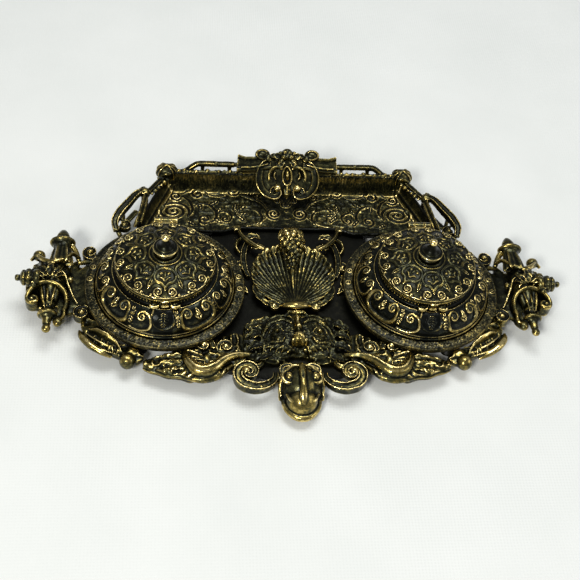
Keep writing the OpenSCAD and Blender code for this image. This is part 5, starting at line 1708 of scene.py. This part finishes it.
def bracket_parts():
    """Round knot on the tray's end, a gilt bar and a hollow strap that run down to the pan."""
    parts = [ball(94.0, 68.0, 20.6, 3.7, n=26)]
    parts += volute(94.2, 67.6, 22.4, 3.2, 1.1, 100, -1, 0.9, 1.0, rise=0.6)
    parts.append(strand([(95.0, 68.6, 22.0), (99.4, 64.4, 22.4), (104.6, 57.0, 21.4), (109.6, 50.0, 20.0),
                         (112.4, 43.4, 18.6), (111.2, 37.0, 17.2)], (1.6, 2.1, 2.5, 2.6, 2.3, 1.8),
                         (1.9, 2.2, 2.4, 2.5, 2.2, 1.8), section_strap(0.24, 0.6)))
    parts.append(strand([(94.0, 65.4, 21.6), (95.2, 58.0, 21.6), (96.8, 50.0, 21.2), (98.6, 43.0, 20.4),
                         (99.8, 39.6, 18.4)], (1.2, 1.1, 1.1, 1.1, 1.1), (1.4, 1.3, 1.3, 1.3, 1.3), RIDGE))
    parts.append(strand([(92.4, 64.6, 20.0), (93.2, 57.0, 20.0), (94.6, 49.0, 19.8), (96.0, 42.6, 19.2)],
                        0.9, 1.0))
    parts.append(sweep([(94.0, 67.6, 20.0), (94.0, 67.6, 9.2)], 2.4, 2.4, up=(0, 1, 0)))
    parts += volute(106.6, 42.0, 15.4, 4.2, 1.25, 60, 1, 1.2, 2.2, rise=0.8)
    parts.append(strand([(111.0, 40.0, 16.2), (108.6, 36.4, 12.6), (106.6, 38.6, 9.6)], (1.8, 1.6, 1.5),
                        (1.6, 1.5, 1.4)))
    parts.append(strand([(99.0, 62.0, 9.4), (105.0, 53.0, 9.4), (110.0, 45.0, 9.4)], 2.2, 0.9))
    parts.append(sweep([(107.4, 52.4, 9.4), (107.4, 52.6, 20.2)], 1.3, 1.3, up=(0, 1, 0)))
    return parts


CREST_LEAN, CREST_Y, CREST_Z = 36.0, 67.6, DECK + 5.0


def crest_half():
    """Right half of the cartouche, flat in its own plane: x across, y up the slope, z out of it."""
    parts = []
    run = smooth([(11.6, 28.9), (15.2, 28.0), (18.0, 23.6), (19.0, 17.6), (17.7, 11.8), (13.9, 7.4),
                  (9.4, 5.6)])
    plan = curl(run, 3.3, 0.85, -1, 2.0, 0.4)
    parts.append(sweep(lift(plan, (3.0, 3.6, 3.8, 3.6, 3.6, 3.8)), (1.2, 2.2, 2.6, 2.5, 1.9, 1.4),
                       (1.6, 2.2, 2.4, 2.4, 2.0, 1.6), section_lip()))
    parts.append(ball(6.6, 11.2, 4.8, 2.5, rz=2.4, n=26))
    parts.append(sweep(lift(smooth([(3.2, 24.2), (6.8, 25.6), (10.4, 24.0), (12.2, 20.2), (12.0, 16.4)]),
                            (3.4, 4.0, 3.6)), (0.8, 1.3, 1.2, 0.8), (1.0, 1.5, 1.3, 0.9)))
    parts.append(sweep(lift(smooth([(8.0, 22.6), (8.8, 19.8), (7.4, 17.2)]), 2.8), (0.5, 1.1, 0.4),
                       (0.6, 1.1, 0.4), RIDGE))
    parts.append(sweep(lift(smooth([(11.4, 29.4), (13.0, 31.4), (12.2, 33.4)]), (3.6, 3.8, 3.6)),
                       (1.6, 1.8, 1.2), (1.6, 1.8, 1.2)))
    parts.append(sweep(lift(smooth([(4.4, 25.0), (5.6, 28.4), (4.8, 31.0)]), (3.6, 4.0, 3.6)),
                       (1.3, 1.4, 0.9), (1.3, 1.5, 0.9), RIDGE))
    # rolled volute beside the fruit
    parts.append(ball(16.6, 33.8, 2.4, 4.9, 3.3, 3.6, n=30))
    roll = [(16.6 + (4.6 - 0.9 * t) * math.cos(a) * 0.98, 33.8 + (3.3 - 0.7 * t) * math.sin(a),
             3.0 + 2.4 * t + 0.4 * math.cos(a)) for t, a in ((k / 60, -0.6 + 2 * math.pi * 1.5 * k / 60)
             for k in range(61))]
    parts.append(sweep(roll, (0.5, 0.9, 0.8, 0.5), (0.6, 0.9, 0.9, 0.6)))
    # moulded bracket that runs out along the tray's back
    parts.append(sweep([(11.0, 29.0, 2.0), (16.0, 28.4, 2.2), (22.0, 27.4, 2.3), (28.0, 27.2, 2.3),
                        (31.0, 27.4, 2.3), (33.4, 27.6, 2.3)], (4.8, 4.8, 4.8, 4.9, 5.4, 5.9),
                        (2.6, 2.6, 2.6, 2.6, 2.9, 3.2), section_strap(0.3, 0.4)))
    parts.append(sweep([(13.0, 27.2, 4.6), (19.0, 25.4, 4.8), (25.0, 24.6, 4.8), (31.0, 24.6, 4.8)],
                       (0.5, 0.9, 0.9, 0.7), 0.9))
    # fruit and leaves
    for x, y, z, r in ((2.3, 32.2, 4.6, 2.1), (4.4, 34.6, 3.6, 1.9), (1.5, 35.0, 5.0, 1.8),
                       (3.6, 30.0, 3.8, 1.7), (6.2, 32.4, 3.0, 1.8)):
        parts.append(ball(x, y, z, r, n=18))
    parts.append(leaf3d([(3.0, 31.6, 3.6), (6.4, 32.8, 4.8), (9.6, 33.2, 4.6), (11.6, 31.8, 3.4)],
                        (0.9, 2.4, 2.2, 0.4), 0.3, 3, 1.4))
    parts.append(leaf3d([(2.0, 30.0, 4.0), (3.8, 27.6, 5.0), (6.2, 26.2, 4.6), (8.8, 26.6, 3.6)],
                        (0.8, 1.9, 1.8, 0.4), 0.3, 3, 1.3))
    return parts


def build_crest():
    """Cartouche at the back of the tray, drawn upright and then leaned over by CREST_LEAN."""
    half = joined(crest_half())
    parts = [half, half.scaled(-1, 1, 1)]
    heart = closed_outline(both([(0, 5.4), (4.0, 8.2), (8.2, 6.4), (12.4, 7.2), (17.0, 11.6), (18.4, 17.6),
                                 (17.0, 23.6), (13.6, 28.6), (12.0, 33.6), (6.0, 35.6), (0, 36.0)]), 240)
    parts.append(disc((0, 20.0), heart, 14, lambda x, y, rho: 2.0 - 0.7 * rho**6 + 0.22
                      * plane_noise(x, y, 1.8, 2.0), -0.4))
    parts.append(ball(0, 20.4, 3.6, 1.5, 3.5, 2.6, n=26))
    ring = [(3.0 * math.sin(a), 19.6 + 6.2 * math.cos(a), 3.0) for a in np.linspace(0, 2 * math.pi, 60)]
    parts.append(sweep(ring, 0.8, 1.1))
    parts.append(sweep([(0, 13.6, 2.6), (0, 10.4, 3.4), (0, 7.2, 3.2), (0, 4.4, 2.0)],
                       (1.6, 2.8, 1.9, 0.2), (1.2, 1.5, 1.1, 0.3), RIDGE))
    parts.append(ball(0, 35.6, 3.0, 3.6, 2.8, 3.2, n=30))
    parts.append(ball(0, 32.8, 4.6, 2.1, n=20))
    parts.append(sweep([(0, 7.0, 0.4), (0, 20, 0.6), (0, 33, 0.6)], (2.0, 6.0, 7.0), 1.4, BOX))
    solid = joined(parts).moved(0, -1.9, 0).turned("x", CREST_LEAN).moved(0, CREST_Y, CREST_Z)
    lean = math.radians(CREST_LEAN)
    ball_y = CREST_Y + 9.3 * math.cos(lean) - 4.8 * math.sin(lean)
    ball_z = CREST_Z + 9.3 * math.sin(lean) + 4.8 * math.cos(lean)
    cast("crest_cartouche", [solid], "gilt_bronze", voxel=0.3, ease=1, wear=(0.0, 0.95, 0.3),
         seed=61, clip=((-60, 0, DECK + 1.9), (60, 100.2, 60)), extra=lambda x, y, z: 0.8 * (
             (np.hypot(np.abs(x) - 6.6, y - ball_y) < 2.6) & (z > ball_z - 1)))


build_tray()
build_rail()
pair("tray_bracket", bracket_parts(), "gilt_bronze", voxel=0.32, wear=(0.05, 0.75, 0.3), seed=71)
build_crest()


# ---------- side handles ----------
SPINDLE_X = centre_mm("spindle_right")[0]
SPINDLE_Z = centre_mm("spindle_right")[2]
TIP_X = box_mm("husk_knob_right")[1][0]
TIP_Y = centre_mm("husk_knob_right")[1]


def turned_y(profile, x, y, z, around=72, relief=None, squash=(1.0, 1.0), hand=1):
    """Turning whose axis runs along Y from y; profile is (radius, distance)."""
    s = lathe(profile, around, relief).scaled(squash[0], squash[1], 1.0)
    s = s.turned("x", -90 * hand)
    return s.moved(x, y, z)


def spindle_parts():
    """Back finial with its calyx, waist under the strap, and the front calyx with its capped ball."""
    x, z = SPINDLE_X, SPINDLE_Z
    back = [(0, 6.0), (6.4, 6.0), (6.0, 10.0), (5.2, 15.0), (4.9, 19.0), (5.6, 21.4), (7.6, 22.6),
            (8.1, 23.4), (7.8, 24.4), (6.2, 25.0), (4.5, 25.6), (4.1, 27.6), (4.2, 28.6), (3.5, 30.4),
            (2.5, 32.2), (1.7, 33.4), (0, 34.4)]

    def folds(t, k, r, s):
        deep = np.clip((21.0 - s) / 6, 0, 1) * (r > 3)
        return deep * (0.8 * np.cos(6 * t) + 0.4 * np.cos(12 * t + 0.8))

    prof = even(rounded(back, 0.5), 0.4)
    parts = [turned_y(prof, x - 3.4, 0, z - 1.6, 96, folds, (1.0, 0.78))]
    waist = even(rounded([(0, -24), (4.2, -24), (3.6, -16), (4.4, -8), (5.0, 0), (5.0, 8.5), (0, 8.5)],
                         1.0), 0.6)
    parts.append(turned_y(waist, x + 2.0, 0, z - 6.5, 40))
    front = [(0, 8.0), (7.8, 8.0), (7.6, 13.0), (6.4, 18.0), (4.9, 23.0), (4.1, 26.6), (4.8, 28.2),
             (6.1, 29.2), (6.5, 30.2), (6.1, 31.2), (4.4, 32.0), (3.1, 33.4), (2.8, 35.6), (2.6, 37.4),
             (2.1, 38.4), (2.5, 39.2), (2.8, 40.6), (2.4, 42.2), (1.4, 43.1), (0, 43.4)]

    def drape(t, k, r, s):
        return np.clip((27.0 - s) / 7, 0, 1) * (1.1 * np.abs(np.cos(3.5 * t + 0.3)) - 0.6) * (r > 3)

    parts.append(turned_y(even(rounded(front, 0.4), 0.35), x + 2.6, 1.2, z - 7.2, 96, drape, (0.95, 0.8),
                          hand=-1))
    parts.append(ball(x - 3.6, -33.4, z - 8.6, 3.0, 3.4, 2.6, n=24))
    for dx in (-3.2, 0.4, 3.8):
        parts.append(strand([(x + 2.6 + 0.5 * dx, -25.0, z - 3.8), (x + 2.5 + 0.9 * dx, -19.0, z - 2.0),
                             (x + 2.4 + 1.2 * dx, -12.0, z - 1.6)], (0.5, 0.9, 0.5), (0.6, 1.0, 0.6)))
    return parts


def strap_parts():
    """Saddle hood over the spindle with its gilt mouth, the shell cup, the web to the pan and its curls."""
    outline = closed_outline([(123.6, -23.0), (131.0, -24.6), (137.6, -27.0), (141.0, -32.0),
                              (144.0, -32.4), (143.6, -27.0), (145.0, -23.0), (155.0, -23.0),
                              (160.4, -21.6), (163.4, -14.0), (164.4, -4.0), (163.0, 5.0), (158.6, 12.6),
                              (153.6, 9.4), (148.6, 6.2), (142.6, 6.6), (138.4, 9.6), (136.4, 15.4),
                              (133.0, 16.0), (133.0, 11.6), (129.6, 11.0), (124.6, 12.6)], 420)
    cx, cy = 150.4, -20.4

    def hood(x, y, rho):
        mouth = np.hypot((x - cx) / 11.2, (y - cy) / 11.4)
        arch = 22.8 - 0.075 * (x - 148.6) ** 2 - 0.016 * (y - 1.0) ** 2
        arch = np.where(mouth < 1.0, np.minimum(arch, 12.4 + 2.0 * mouth**4), arch)
        web = 13.6 - 1.5 * np.exp(-((x - 133.0) / 6.0) ** 2)
        side = np.clip((x - 134.0) / 7.0, 0, 1) ** 1.6
        z = web + (np.maximum(arch, web) - web) * side
        leafy = np.clip((x - 141) / 4, 0, 1) * (mouth > 1.06)
        return z + leafy * (1.7 * veins(x, y, 4.2, 4.0, 2.4) + 0.8
                            * plane_noise(x, y, 2.6, 9.0)) - 1.0 * rho**10

    parts = [disc((147.6, -6.0), outline, 44, hood, DECK + 0.02)]
    # gilt back edge of the saddle
    edge = smooth([(133.6, 14.6, 16.0), (136.8, 14.4, 19.8), (140.0, 9.8, 21.6), (144.4, 6.4, 22.6),
                   (148.8, 5.0, 23.0), (154.0, 7.4, 22.2), (158.6, 12.6, 19.6), (162.4, 11.4, 16.6)])
    parts.append(sweep(edge, (0.9, 1.2, 1.2, 1.4, 1.5, 1.3, 1.2, 0.9),
                       (1.3, 1.6, 1.8, 1.9, 1.9, 1.8, 1.6, 1.2)))
    parts.append(ball(148.8, 3.8, 23.8, 2.4, 1.4, 1.3, n=18))
    parts.append(ball(157.4, 14.2, 17.8, 3.8, 3.4, 3.8, n=26))
    # arm from the saddle to the flange of the finial
    parts.append(strand([(133.4, 13.6, 14.0), (135.4, 18.4, 16.6), (138.4, 22.6, 18.8)], (1.6, 1.8, 2.2),
                        (1.8, 2.0, 2.4)))
    # leaf sprays on the crown
    for root, tip, w in (((149.0, -6.6, 23.4), (148.6, 3.0, 24.8), 3.4),
                         ((150.6, -6.0, 23.2), (157.2, 2.6, 22.4), 2.9),
                         ((147.4, -6.0, 23.2), (142.4, 1.6, 22.4), 2.8),
                         ((152.4, -6.2, 22.8), (161.2, -1.6, 19.6), 2.6),
                         ((146.0, -6.4, 22.8), (141.0, -3.6, 21.2), 2.2)):
        mid = [(root[0] + tip[0]) / 2, (root[1] + tip[1]) / 2, max(root[2], tip[2]) + 0.7]
        parts.append(leaf3d([root, mid, tip], (0.6, w, 0.8 * w, 0.4), 0.25, 3, 1.4))
    # small ball in a hollow, with the raised line that crosses the web
    parts.append(ball(137.6, -4.6, 17.0, 2.2, n=22))
    parts.append(strand([(143.4, 0.0, 21.6), (140.6, -2.6, 20.0), (138.6, -8.0, 17.6),
                         (135.4, -15.0, 15.0), (132.6, -20.0, 13.6)], (0.4, 0.7, 0.8, 0.7, 0.4),
                         (0.5, 0.8, 0.9, 0.8, 0.5)))
    # gilt mouth: a ring that hooks in to a volute at its outer end
    a = np.radians(np.linspace(206, 2, 60))
    rim2 = np.column_stack([cx + 11.6 * np.cos(a), cy + 11.4 * np.sin(a)])
    rim2 = np.vstack([smooth([(143.0, -33.0), (140.2, -29.4), rim2[0]], 0.5)[:-1], rim2])
    rim2 = curl(even(rim2, 0.5), 3.6, 1.15, -1, 1.0, 0.4)
    rim = lift(rim2, (12.0, 14.0, 16.6, 18.8, 20.2, 20.2, 19.4, 18.4, 18.0, 18.6))
    parts.append(sweep(rim, (1.0, 1.4, 1.6, 1.6, 1.5, 1.4, 1.1), (1.4, 1.8, 2.2, 2.2, 2.0, 1.7, 1.3)))
    skirt = lift(rim2, (10.6, 11.4, 13.0, 14.6, 15.6, 15.6, 15.0, 14.4, 14.4, 15.0))
    parts.append(sweep(skirt, (0.9, 1.2, 1.4, 1.4, 1.3, 1.1, 0.9), (2.0, 2.8, 3.8, 4.4, 4.4, 4.2, 4.0), BOX))
    parts.append(ball(*rim[-1] + [0.2, 0.2, 0.4], 1.6, n=16))
    # rolled curls on the pan's edge
    for x, y, hand, start in ((126.6, 19.4, 1, 230), (129.4, -28.6, -1, 130)):
        parts += volute(x, y, 13.4, 4.6, 1.35, start, hand, 1.6, 3.2, rise=1.0, end=1.0)
    parts.append(strand([(122.6, -25.6, 12.0), (126.0, -25.0, 12.8), (130.6, -24.6, 13.0),
                         (134.6, -23.4, 12.6)], (1.4, 2.4, 2.0, 0.8), (1.6, 2.4, 2.2, 1.4)))
    parts.append(strand([(120.6, 14.6, 12.2), (124.6, 14.4, 12.8), (129.4, 13.6, 13.0),
                         (134.0, 12.6, 13.0)], (1.4, 2.0, 1.6, 0.8), (1.6, 2.2, 2.0, 1.4)))
    parts.append(sweep([(158.5, TIP_Y, 12.0), (158.5, TIP_Y, SPINDLE_Z + 2)], 5.0, 2.4, BOX, up=(1, 0, 0)))
    return parts


def husk_parts():
    """Ringed bud with a small ball at its tip."""
    base = TIP_X - 15
    prof = [(0, 0), (5.0, 0), (5.6, 1.6), (5.2, 3.2), (4.3, 4.0), (5.0, 4.9), (5.7, 6.2), (5.4, 7.6),
            (4.3, 8.4), (4.9, 9.1), (4.8, 10.2), (3.6, 11.3), (2.1, 12.0), (1.8, 12.4), (2.1, 13.2),
            (1.9, 14.4), (1.1, 15.0), (0, 15.0)]

    def ribs(t, k, r, s):
        return 0.3 * (np.abs(np.cos(5 * t)) - 0.5) * np.clip((s - 3.6) / 2, 0,
                1) * np.clip((11.6 - s) / 1.4, 0, 1)

    s = lathe(even(rounded(prof, 0.3), 0.3), 96, ribs).turned("y", 90)
    knob = [s.moved(base, TIP_Y, SPINDLE_Z)]
    knob.append(ball(base + 2.6, TIP_Y + 5.0, SPINDLE_Z + 1.4, 2.5, n=22))
    knob.append(ball(base + 3.6, TIP_Y - 5.2, SPINDLE_Z - 0.6, 2.3, n=22))
    return knob


pair("spindle", spindle_parts(), "side_bronze", voxel=0.32, wear=(0.0, 0.95, 0.3), seed=81)
pair("side_strap", strap_parts(), "side_bronze", voxel=0.36, wear=(0.0, 0.95, 0.3), seed=91)
pair("husk_knob", husk_parts(), "side_bronze", voxel=0.3, ease=1, wear=(0.05, 0.75, 0.3), seed=101)


# ---------- carried-over CAD nodes ----------
# the base frame takes the near-black painted shade; any other CAD node left showing falls back to it
OWN_LOOK = {"ink_pot": GLASS, "foot_screws": SCREW, "hinge_pin": SCREW, "knob_nut": SCREW,
            "base_frame": BLACK_SHADE_PATINA}


def dress_cad():
    """Gives every CAD node that still shows its procedural material."""
    for name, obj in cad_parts.items():
        mat = next((m for key, m in OWN_LOOK.items() if name.startswith(key)), BLACK_SHADE_PATINA)
        obj = obj if hasattr(obj, "material_slots") else bpy.data.objects[name]
        if not obj.material_slots:
            obj.data.materials.append(mat)
        for s in obj.material_slots:
            s.material = mat


dress_cad()
